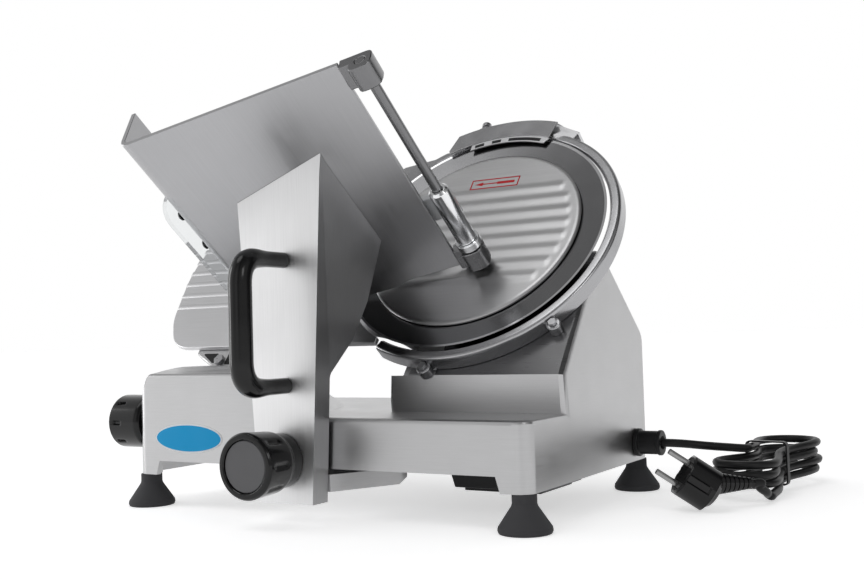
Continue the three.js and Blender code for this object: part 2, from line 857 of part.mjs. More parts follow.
const pulleyMiddle = chamberFront + chamberLength / 2;
const pulleyFront = pulleyMiddle - pulleyWidth / 2;
const pulleyBack = pulleyMiddle + pulleyWidth / 2;
const grooved = (radius) => [
  [radius + pulleyRim, pulleyFront],
  [radius + pulleyRim, pulleyMiddle - beltWidth / 2 - seatGap],
  [radius, pulleyMiddle - beltWidth / 2 - seatGap],
  [radius, pulleyMiddle + beltWidth / 2 + seatGap],
  [radius + pulleyRim, pulleyMiddle + beltWidth / 2 + seatGap],
  [radius + pulleyRim, pulleyBack],
];
const motorRotor = turned([
  [0, pulleyFront],
  ...grooved(motorPulley),
  [motorShaft, pulleyBack],
  [motorShaft, motorBack - motorLength / 2 - seatGap],
  [0, motorBack - motorLength / 2 - seatGap],
], 'y', coarse).translate(motorAcross, 0, -motorBelow);
tilt.add(mesh('motor_pulley', motorRotor, steel()));

// Outline round two pulleys, the belt's inner or outer side.
function beltOutline(away) {
  const distance = Math.hypot(motorAcross, motorBelow);
  const heading = THREE.MathUtils.radToDeg(Math.atan2(-motorBelow, motorAcross));
  const spread = THREE.MathUtils.radToDeg(Math.acos((bladePulley - motorPulley) / distance));
  const large = arcPoints(bladePulley + away, heading + spread, heading + 360 - spread, medium);
  const little = arcPoints(motorPulley + away, heading - spread, heading + spread, small)
    .map(([x, z]) => [x + motorAcross, z - motorBelow]);
  return [...large, ...little].map(([x, z]) => new THREE.Vector2(x, z));
}
const beltShape = new THREE.Shape(beltOutline(seatGap + beltThickness));
beltShape.holes.push(new THREE.Path(beltOutline(seatGap)));
tilt.add(mesh('drive_belt', sweptY(beltShape, pulleyMiddle - beltWidth / 2, pulleyMiddle + beltWidth / 2), blackRubber()));

const bearing = ringTurned(shaftRadius + seatGap, bearingRadius, bossFront, bossFront + bearingLength, 'y');
tilt.add(mesh('blade_bearing', bearing, steel()));

// ---- Blade, hub and pulley ----
const bladeRadius = bladeDiameter / 2;
const bladeBack = bladeFace + bladeWeb;
const blade = turned([
  [bladeBore, bladeFace],
  [bladeSeat, bladeFace],
  [bladeRadius - bladeLand, bladeFace * 0.43],
  [bladeRadius, 0],
  [bladeRadius - bladeBevel, bladeEdgeBack],
  [bladeSeat, bladeBack],
  [bladeBore, bladeBack],
  [bladeBore, bladeFace],
], 'y', fine);
tilt.add(mesh('blade', blade, steel()));

const flangeFront = bladeBack + seatGap;
const flangeBack = flangeFront + hubFlangeThickness;
const hub = turned([
  [shaftBore, flangeFront],
  [hubFlange, flangeFront],
  [hubFlange, flangeBack],
  [shaftRadius, flangeBack],
  [shaftRadius, pulleyBack + seatGap],
  [shaftBore, pulleyBack + seatGap],
  [shaftBore, flangeFront],
], 'y');
tilt.add(mesh('blade_hub', hub, darkSteel()));

const pulley = turned([
  [shaftRadius + seatGap, pulleyFront],
  ...grooved(bladePulley),
  [shaftRadius + seatGap, pulleyBack],
  [shaftRadius + seatGap, pulleyFront],
], 'y');
tilt.add(mesh('blade_pulley', pulley, darkSteel()));

// ---- Blade cover with pressed ribs, held by a rod through the hollow shaft ----
const coverDisc = turned([
  [0, -coverProud],
  [coverRadius - coverRim, -coverProud],
  [coverRadius, coverRim / 2 - coverProud],
  [coverRadius, coverRim],
  [coverRadius - coverStep, coverBack],
  [coverBoss, coverBack],
  [coverBoss, coverBossEnd],
  [0, coverBossEnd],
], 'y', fine);
const stadium = (x0, x1, z, width, steps = 3) => new THREE.Shape([
  ...arcPoints(width / 2, -90, 90, steps).map(([x, y]) => new THREE.Vector2(x1 + x, z + y)),
  ...arcPoints(width / 2, 90, 270, steps).map(([x, y]) => new THREE.Vector2(x0 + x, z + y)),
]);
const coverRibBars = Array.from({ length: coverRibs }, (_, i) => {
  const z = (i - (coverRibs - 1) / 2) * coverRibPitch;
  const reach = coverRadius - coverRibMargin;
  const half = Math.sqrt(reach * reach - z * z);
  return sweptY(stadium(-half, half, z, coverRibWidth), -coverProud - coverRibRise, coverRim / 2);
});
tilt.add(mesh('blade_cover', join(coverDisc, ...coverRibBars), castAluminium()));

const rearKnob = turned([
  [0, coverBossEnd + seatGap],
  [tieRodRadius, coverBossEnd + seatGap],
  [tieRodRadius, knobFront],
  [rearKnobRadius * 0.7, knobFront],
  [rearKnobRadius, knobFront + rearKnobLength * 0.35],
  [rearKnobRadius, knobFront + rearKnobLength * 0.8],
  [rearKnobRadius * 0.8, knobFront + rearKnobLength],
  [0, knobFront + rearKnobLength],
], 'y', coarse);
tilt.add(mesh('cover_knob', rearKnob, blackPlastic()));

// ---- Ring guard with its wing, lugs and screws ----
const ringBack = housingFaceBack - seatGap;
const sector = (inner, outer, from, to, steps) => new THREE.Shape([
  ...arcPoints(outer, from, to, steps),
  ...arcPoints(inner, to, from, steps),
].map(([x, z]) => new THREE.Vector2(x, z)));
const onCircle = (radius, degrees) => arcPoints(radius, degrees, degrees, 1)[0];
const wingShape = new THREE.Shape([
  ...arcPoints(ringInner, wingEnd, ringEnd - wingLap, 8),
  onCircle(ringOuter - wingThickness / 8, ringEnd - wingLap),
  onCircle(ringOuter - wingThickness / 8, ringEnd),
  [-wingTopX, wingTopRise],
  [-wingTipX, wingTipRise],
].map(([x, z]) => new THREE.Vector2(x, z)));
const lugFront = ringBack - lugThickness;
const lugPlaces = [lugRight, lugLeft].map((degrees) => onCircle(lugCircle, degrees));
const lugs = lugPlaces.map(([x, z], i) => {
  const inward = onCircle(ringInner + lugRadius / 2, [lugRight, lugLeft][i]);
  const heading = THREE.MathUtils.radToDeg(Math.atan2(z - inward[1], x - inward[0]));
  const shape = new THREE.Shape([
    ...arcPoints(lugRadius, heading - 90, heading + 90, 8).map(([dx, dz]) => [x + dx, z + dz]),
    ...arcPoints(lugRadius / 2, heading + 90, heading + 270, 4).map(([dx, dz]) => [inward[0] + dx, inward[1] + dz]),
  ].map(([px, pz]) => new THREE.Vector2(px, pz)));
  return sweptY(shape, lugFront, ringBack);
});
const lugHoles = lugPlaces.map(([x, z]) =>
  disc(lugScrew / 2 + seatGap, lugFront - overrun, ringBack + overrun, 'y', small).translate(x, 0, z));
const stonePlaces = [grindingTurn, honingTurn].map((degrees) => onCircle(stoneCircle, degrees));
const stoneNotches = stonePlaces.map(([x, z]) =>
  disc(stoneRadius + runGap, -overrun, ringBack - ringBackPlate, 'y', coarse).translate(x, 0, z));
const spindleHoles = stonePlaces.map(([x, z]) =>
  disc(stoneSpindle + slideGap, -overrun, sharpBodyBack + overrun, 'y', coarse).translate(x, 0, z));
let ring = join(
  sweptY(sector(ringInner, ringOuter, ringStart, ringEnd, 48), ringFront, ringBack),
  sweptY(sector(ringInner, sharpBodyOuter, hoodStart, hoodEnd, coarse), ringBack - ringBackPlate, ringBack),
  sweptY(wingShape, ringFront, ringFront + wingThickness),
  ...lugs,
);
ring = cut(ring, ...lugHoles, ...stoneNotches, ...spindleHoles);
tilt.add(mesh('ring_guard', ring, castAluminium()));

const hexHead = (radius) => circle(radius, 0, 0, 6);
lugPlaces.forEach(([x, z], i) => {
  const screw = join(
    sweptY(hexHead(lugRadius * 0.55), lugFront - lugScrewHead, lugFront - seatGap),
    disc(lugScrew / 2, lugFront - lugScrewHead / 2, ringBack, 'y', small),
  );
  tilt.add(mesh(['ring_screw_right', 'ring_screw_left'][i], fromManifold(screw).translate(x, 0, z), steel()));
});

// ---- Sharpener: body behind the ring, hood over it, two stones on sprung spindles ----
const sharpBodyFront = ringBack + seatGap;
const sharpBody = cut(
  toManifold(sweptY(
    sector(ringInner, sharpBodyOuter - seatGap, hoodStart + sharpBodyMargin, hoodEnd - sharpBodyMargin, coarse),
    sharpBodyFront,
    sharpBodyBack,
  )),
  ...spindleHoles,
);
tilt.add(mesh('sharpener_body', sharpBody, castAluminium()));

const hood = cut(
  toManifold(sweptY(sector(hoodFace, hoodOuter, hoodStart, hoodEnd, coarse), -hoodFront, hoodDepth)),
  sweptY(
    sector(hoodFace - overrun, hoodOuter - hoodSkin, hoodStart - overrun, hoodEnd + overrun, coarse),
    hoodSkin - hoodFront,
    hoodDepth + overrun,
  ),
);
const hoodSeat = sweptY(
  sector(
    sharpBodyOuter,
    hoodOuter - hoodSkin / 2,
    hoodStart + sharpBodyMargin * 2,
    hoodEnd - sharpBodyMargin * 2,
    small,
  ),
  sharpBodyFront,
  hoodDepth,
);
tilt.add(mesh('sharpener_hood', hood.add(toManifold(hoodSeat)), castAluminium()));

const lockScrew = turned([
  [0, 0],
  [sharpLockRadius * 0.6, 0],
  [sharpLockRadius * 0.6, sharpLockHeight * 0.5],
  [sharpLockRadius, sharpLockHeight * 0.55],
  [sharpLockRadius, sharpLockHeight],
  [0, sharpLockHeight],
], 'z', coarse);
lockScrew.translate(0, hoodDepth / 3, hoodOuter + seatGap).rotateY(THREE.MathUtils.degToRad(90 - lockTurn));
tilt.add(mesh('hood_screw', lockScrew, steel()));

const stoneFronts = [
  ringBack - ringBackPlate - stoneWidth - stoneStroke / 3,
  hoodSkin - hoodFront + stoneStroke / 3,
];
stonePlaces.forEach(([x, z], i) => {
  const front = stoneFronts[i];
  const buttonAt = sharpBodyBack + stoneStroke * 2;
  const stone = turned([
    [0, front],
    [stoneRadius, front],
    [stoneRadius, front + stoneWidth],
    [stoneSpindle, front + stoneWidth],
    [stoneSpindle, buttonAt],
    [stoneButton, buttonAt],
    [stoneButton, buttonAt + stoneButtonLength * 0.8],
    [stoneButton * 0.8, buttonAt + stoneButtonLength],
    [0, buttonAt + stoneButtonLength],
  ], 'y', coarse);
  tilt.add(mesh(['grinding_stone', 'honing_stone'][i], stone.translate(x, 0, z), abrasive()));
});

// ---- Gauge plate, its bracket and its bolts ----
const gaugeUpperTurn = 152; // degrees where the round edge ends
const gaugeLowerTurn = 270 - THREE.MathUtils.radToDeg(Math.asin(gaugeRight / gaugeClear));
const gaugeShape = new THREE.Shape([
  [-gaugeLeft * 0.912, gaugeTop],
  [-gaugeLeft * 0.98, gaugeTop * 0.66],
  [-gaugeLeft, 0],
  [-gaugeLeft * 0.991, -gaugeBottom * 0.437],
  [-gaugeLeft * 0.964, -gaugeBottom * 0.689],
  [-gaugeLeft * 0.9, -gaugeBottom * 0.916],
  [-gaugeLeft * 0.845, -gaugeBottom],
  [-gaugeRight, -gaugeBottom],
  ...arcPoints(gaugeClear, gaugeLowerTurn, gaugeUpperTurn, coarse),
  [-wingTipX - gaugeThickness, wingTipRise],
  [-wingTipX - gaugeThickness, gaugeTop],
].map(([x, z]) => new THREE.Vector2(x, z)));
const gaugeRibBars = Array.from({ length: gaugeRibs }, (_, i) => {
  const z = i * gaugeRibPitch - gaugeRibStart;
  const edge = gaugeClear + gaugeRibWidth;
  const right = -Math.max(Math.sqrt(edge * edge - z * z), z > wingTipRise * 0.6 ? wingTipX + gaugeRibWidth * 2 : 0);
  const left = -gaugeLeft * (z < -gaugeRibPitch * 2 ? 0.95 : 0.97);
  return sweptY(stadium(left, right - gaugeRibWidth, z, gaugeRibWidth), -gaugeRibRise, gaugeThickness / 2);
});
const gauge = join(sweptY(gaugeShape, 0, gaugeThickness), ...gaugeRibBars);
tilt.add(mesh('gauge_plate', gauge, castAluminium()));

const bracketShape = outline([
  [-bracketLeft, -gaugeBottom + bracketLap],
  [-bracketLeft, bracketLow + bracketDrop * 0.8],
  [-bracketLeft + bracketChamfer, bracketLow],
  [-bracketRight, bracketLow],
  [-bracketRight, -gaugeBottom + bracketLap],
]);
const boltPlaces = [-bracketLeft + bracketChamfer + gaugeBolt, -bracketRight - gaugeBoltInset]
  .map((x) => [x, bracketLow + gaugeBolt * 1.3]);
let support = join(
  sweptY(bracketShape, gaugeBehind, bracketBack),
  box(supportLeft, supportRight, bracketBack - seatGap, supportReach, bracketLow, bracketLow + supportWidth),
);
tilt.add(mesh('gauge_support', support, castAluminium()));
boltPlaces.forEach(([x, z], i) => {
  const bolt = sweptY(hexHead(gaugeBolt), gaugeBehind - seatGap - gaugeBoltHead, gaugeBehind - seatGap);
  tilt.add(mesh(['gauge_bolt_left', 'gauge_bolt_right'][i], bolt.translate(x, 0, z), steel()));
});

// ---- Thickness knob with its spindle ----
const dialStart = -baseLength - seatGap;
const dialBody = turned([
  [0, -baseLength + dialSpindleLength],
  [dialSpindle, -baseLength + dialSpindleLength],
  [dialSpindle, dialStart],
  [dialRadius, dialStart],
  [dialRadius, dialStart - dialLength * 0.85],
  [dialRadius * 0.88, dialStart - dialLength],
  [0, dialStart - dialLength],
], 'x', medium);
const dialCuts = Array.from({ length: dialFlutes }, (_, i) => {
  const turn = (i / dialFlutes) * 2 * Math.PI;
  return disc(dialFlute, dialStart - dialLength - overrun, dialStart - dialLength * 0.3, 'x', small)
    .translate(0, (dialRadius + dialFlute * 0.45) * Math.cos(turn), (dialRadius + dialFlute * 0.45) * Math.sin(turn));
});
const dial = fromManifold(cut(toManifold(dialBody), ...dialCuts)).translate(0, dialFromFront, dialHeight);
whole.add(mesh('thickness_knob', dial, blackPlastic()));

// ---- Switch plate with two buttons on the operator's end ----
const switchOuter = -baseLength - seatGap - switchThickness;
const switchPlate = cut(
  toManifold(box(
    switchOuter,
    -baseLength - seatGap,
    switchFromFront - switchWidth / 2,
    switchFromFront + switchWidth / 2,
    switchCentre - switchHeight / 2,
    switchCentre + switchHeight / 2,
  )),
  ...buttonHoles,
);
whole.add(mesh('switch_plate', switchPlate, blackPlastic()));
const buttonBack = -baseLength + baseWall + seatGap;
buttonPlaces.forEach((y, i) => {
  const button = turned([
    [0, switchOuter - buttonProud],
    [buttonRadius * 0.85, switchOuter - buttonProud],
    [buttonRadius, switchOuter - buttonProud * 0.8],
    [buttonRadius, buttonBack],
    [buttonRadius + buttonFlange, buttonBack],
    [buttonRadius + buttonFlange, buttonBack + buttonFlange],
    [0, buttonBack + buttonFlange],
  ], 'x', coarse).translate(0, y, switchCentre);
  whole.add(mesh(['off_button', 'on_button'][i], button, [redPlastic, greenPlastic][i]()));
});

// ---- Slice deflector, curved from behind the blade to the side of the bearing boss ----
const deflectorEnd = -bossRadius - seatGap;
const deflectorCurve = new THREE.QuadraticBezierCurve(
  new THREE.Vector2(deflectorEnd - deflectorReach, deflectorFront),
  new THREE.Vector2(deflectorEnd - deflectorSheet / 2, deflectorFront),
  new THREE.Vector2(deflectorEnd - deflectorSheet / 2, deflectorFront + deflectorBack),
).getPoints(10);
const deflectorOuter = deflectorCurve.map((p, i) => {
  const before = deflectorCurve[Math.max(i - 1, 0)];
  const after = deflectorCurve[Math.min(i + 1, deflectorCurve.length - 1)];
  const along = after.clone().sub(before).normalize();
  return [p.clone().add(new THREE.Vector2(-along.y, along.x).multiplyScalar(deflectorSheet / 2)),
    p.clone().sub(new THREE.Vector2(-along.y, along.x).multiplyScalar(deflectorSheet / 2))];
});
const deflectorShape = new THREE.Shape([
  ...deflectorOuter.map(([one]) => one),
  ...deflectorOuter.map(([, other]) => other).reverse(),
]);
const deflector = sweptZ(deflectorShape, -deflectorLow, deflectorHigh);
tilt.add(mesh('slice_deflector', deflector, steel()));

// ---- Carriage rails ----
const railLeft = -baseLength + baseWall * 2;
const railRight = -baseWall * 2;
const slideRod = disc(railRadius, railLeft + seatGap, railRight - seatGap, 'x', coarse)
  .translate(0, railFromFront, railHeight);
whole.add(mesh('slide_rod', slideRod, steel()));
const guideHalf = guideSize / 2;
const guideBar = box(
  -baseLength + baseWall + seatGap,
  -baseWall - seatGap,
  guideFromFront - guideHalf,
  guideFromFront + guideHalf,
  guideHeight - guideHalf,
  guideHeight + guideHalf,
);
whole.add(mesh('guide_bar', guideBar, steel()));

// ---- Carriage runner on the rails ----
const carriageX = -carriageCentre;
const runnerShape = outline([
  [runnerFront, runnerBottom],
  [runnerFront, runnerTop, plinthEdge],
  [railFromFront + railRadius * 1.6, runnerTop, plinthEdge],
  [runnerBack, guideHeight + guideSize, plinthEdge],
  [runnerBack, runnerBottom],
]);
runnerShape.holes.push(new THREE.Path(
  circle(railRadius + slideGap, railFromFront, railHeight, coarse).getPoints(),
));
const guideHole = guideHalf + slideGap;
runnerShape.holes.push(new THREE.Path([
  new THREE.Vector2(guideFromFront - guideHole, guideHeight - guideHole),
  new THREE.Vector2(guideFromFront + guideHole, guideHeight - guideHole),
  new THREE.Vector2(guideFromFront + guideHole, guideHeight + guideHole),
  new THREE.Vector2(guideFromFront - guideHole, guideHeight + guideHole),
]));
const runner = sweptX(runnerShape, carriageX - runnerLength / 2, carriageX + runnerLength / 2);
whole.add(mesh('carriage_runner', runner, darkSteel()));

// ---- Foot casting that carries the arm under the front skirt ----
const footPlateTop = footPlateBottom + footPlate;
const armInner = -armFace + armWall;
const footFront = armInner + seatGap;
const footHalfNarrow = footPlateNarrow / 2;
const footHalfWide = footPlateWide / 2;
const footMiddle = -(armFoldLeft + armFoldRight) / 2;
const footTongue = (armFoldLeft - armFoldRight) / 2 - armWall - runGap;
const footShoulder = -armFace + armReturn + seatGap;
const footPlan = outline([
  [footMiddle - footTongue, footFront],
  [footMiddle + footTongue, footFront],
  [footMiddle + footTongue, footShoulder],
  [footMiddle + footHalfNarrow, footShoulder],
  [footMiddle + footHalfWide, footPlateBack, armPad],
  [footMiddle - footHalfWide, footPlateBack, armPad],
  [footMiddle - footHalfNarrow, footShoulder],
  [footMiddle - footTongue, footShoulder],
], 3);
const footSide = outline([
  [footFront, footPlateBottom],
  [footPlateBack - footPlate, footPlateBottom],
  [footPlateBack, footPlateTop - footPlateTip],
  [footPlateBack, footPlateTop],
  [footFront, footPlateTop],
]);
const footCasting = common(
  sweptZ(footPlan, footPlateBottom, footPlateTop),
  sweptX(footSide, footMiddle - footHalfWide, footMiddle + footHalfWide),
).add(toManifold(box(
  carriageX - runnerLength / 2,
  carriageX + runnerLength / 2,
  runnerFront,
  footPlateBack - footPlateTip,
  footPlateTop - footPlateTip,
  runnerBottom - seatGap,
)));
whole.add(mesh('carriage_foot', footCasting, castAluminium()));

// ---- Arm: front panel with two side walls that carry the tray ----
const armY = -armFace;
const armPanel = sweptY(outline([
  [-armTopLeft - (armHeight - armElbow) * 0.01, armHeight],
  [-armElbowLeft, armElbow],
  [-armFoldLeft, armBottom, armWall],
  [-armFoldRight, armBottom, armWall],
  [-armFoldRight, armFoldHeight],
  [-armTopRight + (armHeight - armFoldHeight) * 0.01, armHeight],
]), armY, armInner);
const armSide = (lowHeight, returnHeight) => outline([
  [armY, armBottom],
  [armY, armHeight],
  [armBackTop, armHeight],
  [armBackTop, armBackTopHeight],
  [armBackMid, armBackMidHeight, armPad],
  [armBackLow, lowHeight, armPad],
  [armY + armReturn, returnHeight, armPad],
  [armY + armReturn, armBottom],
]);
// Side wall: a sheet swept along X, then leant outwards with height and depth.
function armWallPiece(shape, x, side, rise, lean) {
  const sheet = sweptX(shape, 0, armWall);
  const position = sheet.attributes.position;
  for (let i = 0; i < position.count; i += 1) {
    const above = Math.max(position.getZ(i) - armBottom, 0);
    const behind = position.getY(i) - armY;
    const place = position.getX(i) * side;
    position.setX(i, x + place + above * rise + behind * lean * (above / (armHeight - armBottom)));
  }
  return sheet;
}
const riseRight = (armFoldRight - armTopRight) / (armHeight - armFoldHeight + armFoldHeight - armBottom);
const riseLeft = -(armElbowLeft - armFoldLeft) / (armElbow - armBottom);
const rightSide = armSide(armBackLowHeight, armReturnHeight);
const leftSide = armSide(armLeftLow, armLeftReturn);
const rightWall = armWallPiece(rightSide, -armFoldRight, -1, riseRight, armLean);
const leftWall = armWallPiece(leftSide, -armFoldLeft, 1, riseLeft, -armLean);
const trayClearing = box(
  -baseLength,
  baseLength,
  -baseLength,
  baseLength,
  -trayUnder - seatGap,
  baseLength,
).applyMatrix4(trayToBase);
const armBoltHeight = footPlateBottom + footPlate / 2;
const arm = cut(join(armPanel, rightWall, leftWall), trayClearing);
whole.add(mesh('carriage_arm', arm, brightPanel()));

// ---- D handle ----
const gripAxis = armY - gripReach;
const handleMiddle = (gripTop + gripBottom) / 2;
const legStart = armY - seatGap;
const bend = gripRadius * 1.6;
const gripBar = turned([
  [0, gripBottom - gripRadius],
  [gripRadius * 0.7, gripBottom - gripRadius],
  [gripRadius * 0.95, gripBottom - gripRadius * 0.6],
  [gripRadius, gripBottom + gripRadius],
  [gripRadius * 1.06, handleMiddle],
  [gripRadius, gripTop - gripRadius],
  [gripRadius * 0.95, gripTop + gripRadius * 0.6],
  [gripRadius * 0.7, gripTop + gripRadius],
  [0, gripTop + gripRadius],
], 'z', coarse).translate(0, gripAxis, 0);
const gripLegs = [gripBottom, gripTop].map((z) => turned([
  [0, gripAxis],
  [gripLeg, gripAxis],
  [gripLeg, legStart - gripRoseHeight * 1.5],
  [gripRose, legStart - gripRoseHeight],
  [gripRose, legStart],
  [0, legStart],
], 'y', coarse).translate(0, 0, z));
const handle = fromManifold(join(gripBar, ...gripLegs)).translate(-gripAcross, 0, 0);
whole.add(mesh('d_handle', handle, blackPlastic()));

// ---- Lobed lock knob low on the arm ----
const lockBack = armY - seatGap;
const lockFront = lockBack - lockLength;
const lockBody = turned([
  [0, lockBack],
  [lockNeck, lockBack],
  [lockNeck, lockBack - lockLength * 0.2],
  [lockRadius * 0.93, lockBack - lockLength * 0.36],
  [lockRadius, lockBack - lockLength * 0.9],
  [lockRadius * 0.96, lockFront],
  [lockDisc, lockFront],
  [lockDisc, lockFront + lockLength * 0.04],
  [0, lockFront + lockLength * 0.04],
], 'y', medium);
const lockCuts = Array.from({ length: lockLobes }, (_, i) => {
  const turn = (i / lockLobes) * 2 * Math.PI;
  return disc(lockFlute, lockFront - overrun, lockBack - lockLength * 0.3, 'y', small)
    .translate((lockRadius + lockFlute * 0.55) * Math.cos(turn), 0, (lockRadius + lockFlute * 0.55) * Math.sin(turn));
});
const lock = fromManifold(cut(toManifold(lockBody), ...lockCuts)).translate(-lockAcross, 0, lockHeight);
whole.add(mesh('lock_knob', lock, blackPlastic()));

// ---- Food tray: ribbed floor with a turned-up flange, trimmed round its corners ----
const trayFloor = -trayUnder;
const trayTop = trayFloor + traySheet;
const trayFloorShape = outline([
  [-trayLeft + trayBend, -trayHigh],
  [-trayRight - trayNotch, -trayHigh],
  [-trayRight, -trayHigh + trayClampRun, trayNotch / 2],
  [-trayRight, -trayLow - trayLowSetback],
  [-trayLowCorner, -trayLow - trayLowSetback, trayNotch],
  [-trayLowCorner - trayNotch, -trayLow, trayNotch],
  [-trayLeft + trayBend, -trayLow],
], 2);
const flangeShape = outline([
  [-trayLeft, trayFloor + trayFlange],
  [-trayLeft, trayFloor + trayBend],
  ...arcPoints(trayBend, 180, 270, 4).map(([x, z]) => [-trayLeft + trayBend + x, trayFloor + trayBend + z]),
  [-trayLeft + trayBend + traySheet, trayFloor],
  [-trayLeft + trayBend + traySheet, trayTop],
  ...arcPoints(trayBend - traySheet, 270, 180, 4)
    .map(([x, z]) => [-trayLeft + trayBend + x, trayFloor + trayBend + z]),
  [-trayLeft + traySheet, trayFloor + trayFlange],
]);
const trayRibBars = Array.from({ length: trayRibs }, (_, i) => {
  const x = i * trayRibPitch - trayRibStart;
  return sweptZ(
    stadium(trayLow + trayRibEnd, trayHigh - trayRibEnd, x, trayRibWidth, 2),
    trayTop - traySheet / 2,
    trayTop + trayRibRise,
  ).rotateZ(-Math.PI / 2);
});
const tray = join(
  sweptZ(trayFloorShape, trayFloor, trayTop),
  sweptY(flangeShape, -trayHigh, -trayLow),
  ...trayRibBars,
);
slope.add(mesh('food_tray', tray, castAluminium()));

// ---- Pusher rod held by two split clamps under the tray's right edge ----
const rodHigh = -rodTop;
const rodLow = -trayLow;
const rod = disc(rodRadius, rodHigh + seatGap, rodLow - seatGap * 2, 'y', coarse).translate(rodAcross, 0, -rodBelow);
slope.add(mesh('pusher_rod', rod, steel()));
const clampShape = outline([
  [rodAcross - clampRadius, -rodBelow - clampRadius, clampRadius],
  [rodAcross + clampRadius, -rodBelow - clampRadius, clampRadius],
  [rodAcross + clampRadius, -rodBelow + clampRadius, clampRadius],
  [rodAcross, -rodBelow + clampRadius],
  [rodAcross - clampRadius, trayFloor + traySheet + clampFoot],
  [-trayRight + seatGap, trayFloor + traySheet + clampFoot],
  [-trayRight + seatGap, trayFloor - clampFoot],
  [rodAcross - clampRadius, trayFloor - clampFoot],
], 3);
clampShape.holes.push(new THREE.Path(
  circle(rodRadius + seatGap, rodAcross, -rodBelow, coarse).getPoints(),
));
const clampStarts = [rodHigh, rodLow - clampBlock - traySheet / 2];
['rod_clamp_high', 'rod_clamp_low'].forEach((name, i) => {
  slope.add(mesh(name, sweptY(clampShape, clampStarts[i], clampStarts[i] + clampBlock), castAluminium()));
});

// ---- Pusher: collar and sleeve on the rod, arm over the tray, toothed plate and grip ----
const sleeve = ringTurned(rodRadius + slideGap, sleeveRadius, -sleeveTop, -sleeveBottom - collarLength - seatGap, 'y', 24)
  .translate(rodAcross, 0, -rodBelow);
const collar = ringTurned(rodRadius + slideGap, collarRadius, -sleeveBottom - collarLength, -sleeveBottom, 'y', 24)
  .translate(rodAcross, 0, -rodBelow);
slope.add(mesh('pusher_collar', collar, steel()));
const plateLow = trayTop + trayRibRise + pusherPlateRest;
const plateHigh = plateLow + pusherPlateHeight;
const plateFront = -pusherPlateBack;
const plateBack = plateFront - pusherPlateThickness;
const plateShape = outline([
  [-pusherPlateLeft, plateLow, pusherCorner / 4],
  [-pusherPlateRight, plateLow, pusherCorner / 4],
  [-pusherPlateRight, plateHigh, pusherCorner],
  [-pusherPlateLeft, plateHigh, pusherCorner],
], 5);
const teeth = [];
for (let row = 0; row < toothRows; row += 1) {
  for (let column = 0; column < toothColumns; column += 1) {
    const x = -(pusherPlateLeft + pusherPlateRight) / 2 + (column - (toothColumns - 1) / 2) * toothPitch;
    const z = (plateLow + plateHigh) / 2 + (row - (toothRows - 1) / 2) * toothPitch;
    const tooth = new THREE.ConeGeometry(toothSize, toothLength + toothSize / 2, 4);
    teeth.push(tooth.translate(x, plateFront + toothLength / 2 - toothSize / 4, z));
  }
}
const plate = join(sweptY(plateShape, plateBack, plateFront), ...teeth);
const armReach = outline([
  [rodAcross - sleeveRadius * 0.2, -rodBelow + sleeveRadius * 0.7],
  [rodAcross + sleeveRadius * 0.6, -rodBelow + sleeveRadius * 0.7],
  [rodAcross + sleeveRadius * 0.6, plateHigh - pusherCorner * 0.8, pusherArmThickness],
  [-pusherPlateRight - pusherCorner, plateHigh - pusherCorner * 0.8],
  [-pusherPlateRight - pusherCorner, plateHigh - pusherCorner * 0.8 - pusherArmThickness],
  [rodAcross - sleeveRadius * 0.2, plateHigh - pusherCorner * 0.8 - pusherArmThickness, pusherArmThickness / 2],
], 3);
const pusherArm = sweptY(armReach, plateBack - pusherArmWidth, plateBack + pusherPlateThickness / 2);
const pusherBody = plate.add(toManifold(pusherArm)).add(toManifold(sleeve));
const pusherBore = disc(rodRadius + slideGap, -sleeveTop - overrun, -sleeveBottom + overrun, 'y', 24)
  .translate(rodAcross, 0, -rodBelow);
const pusher = cut(pusherBody, pusherBore);
slope.add(mesh('pusher', pusher, greyPlastic()));

const gripMiddleX = -(pusherPlateLeft + pusherPlateRight) / 2;
const gripMiddleZ = (plateLow + plateHigh) / 2;
const pusherGrip = turned([
  [0, plateBack - seatGap - pusherGripLength],
  [pusherGripRadius * 0.7, plateBack - seatGap - pusherGripLength],
  [pusherGripRadius, plateBack - seatGap - pusherGripLength * 0.88],
  [pusherGripRadius * 0.8, plateBack - seatGap - pusherGripLength * 0.5],
  [pusherGripRadius * 0.75, plateBack - seatGap - pusherGripLength * 0.15],
  [pusherGripRadius, plateBack - seatGap],
  [0, plateBack - seatGap],
], 'y', coarse).translate(gripMiddleX, 0, gripMiddleZ);
slope.add(mesh('pusher_grip', pusherGrip, blackPlastic()));

// ---- Transparent hand guard outside the flange ----
const shieldInner = -trayLeft - seatGap;
const shieldShape = outline([
  [-shieldBottom, trayFloor - shieldDrop],
  [-shieldTop, trayFloor - shieldDrop, shieldHeight / 3],
  [-shieldTop, trayFloor - shieldDrop + shieldHeight, shieldHeight / 3],
  [-shieldBottom, trayFloor - shieldDrop + shieldHeight],
], 5);
const shieldScrewZ = trayFloor + trayBend + shieldScrew;
const shieldScrewPlaces = [-shieldScrewHigh, -shieldScrewLow];
const shieldHoles = shieldScrewPlaces.map((y) => disc(
  shieldScrew / 2 + seatGap,
  shieldInner - shieldThickness - overrun,
  shieldInner + overrun,
  'x',
  small,
).translate(0, y, shieldScrewZ));
const shield = cut(toManifold(sweptX(shieldShape, shieldInner - shieldThickness, shieldInner)), ...shieldHoles);
slope.add(mesh('hand_guard', shield, clearPlastic()));
const shieldOuter = shieldInner - shieldThickness - seatGap;
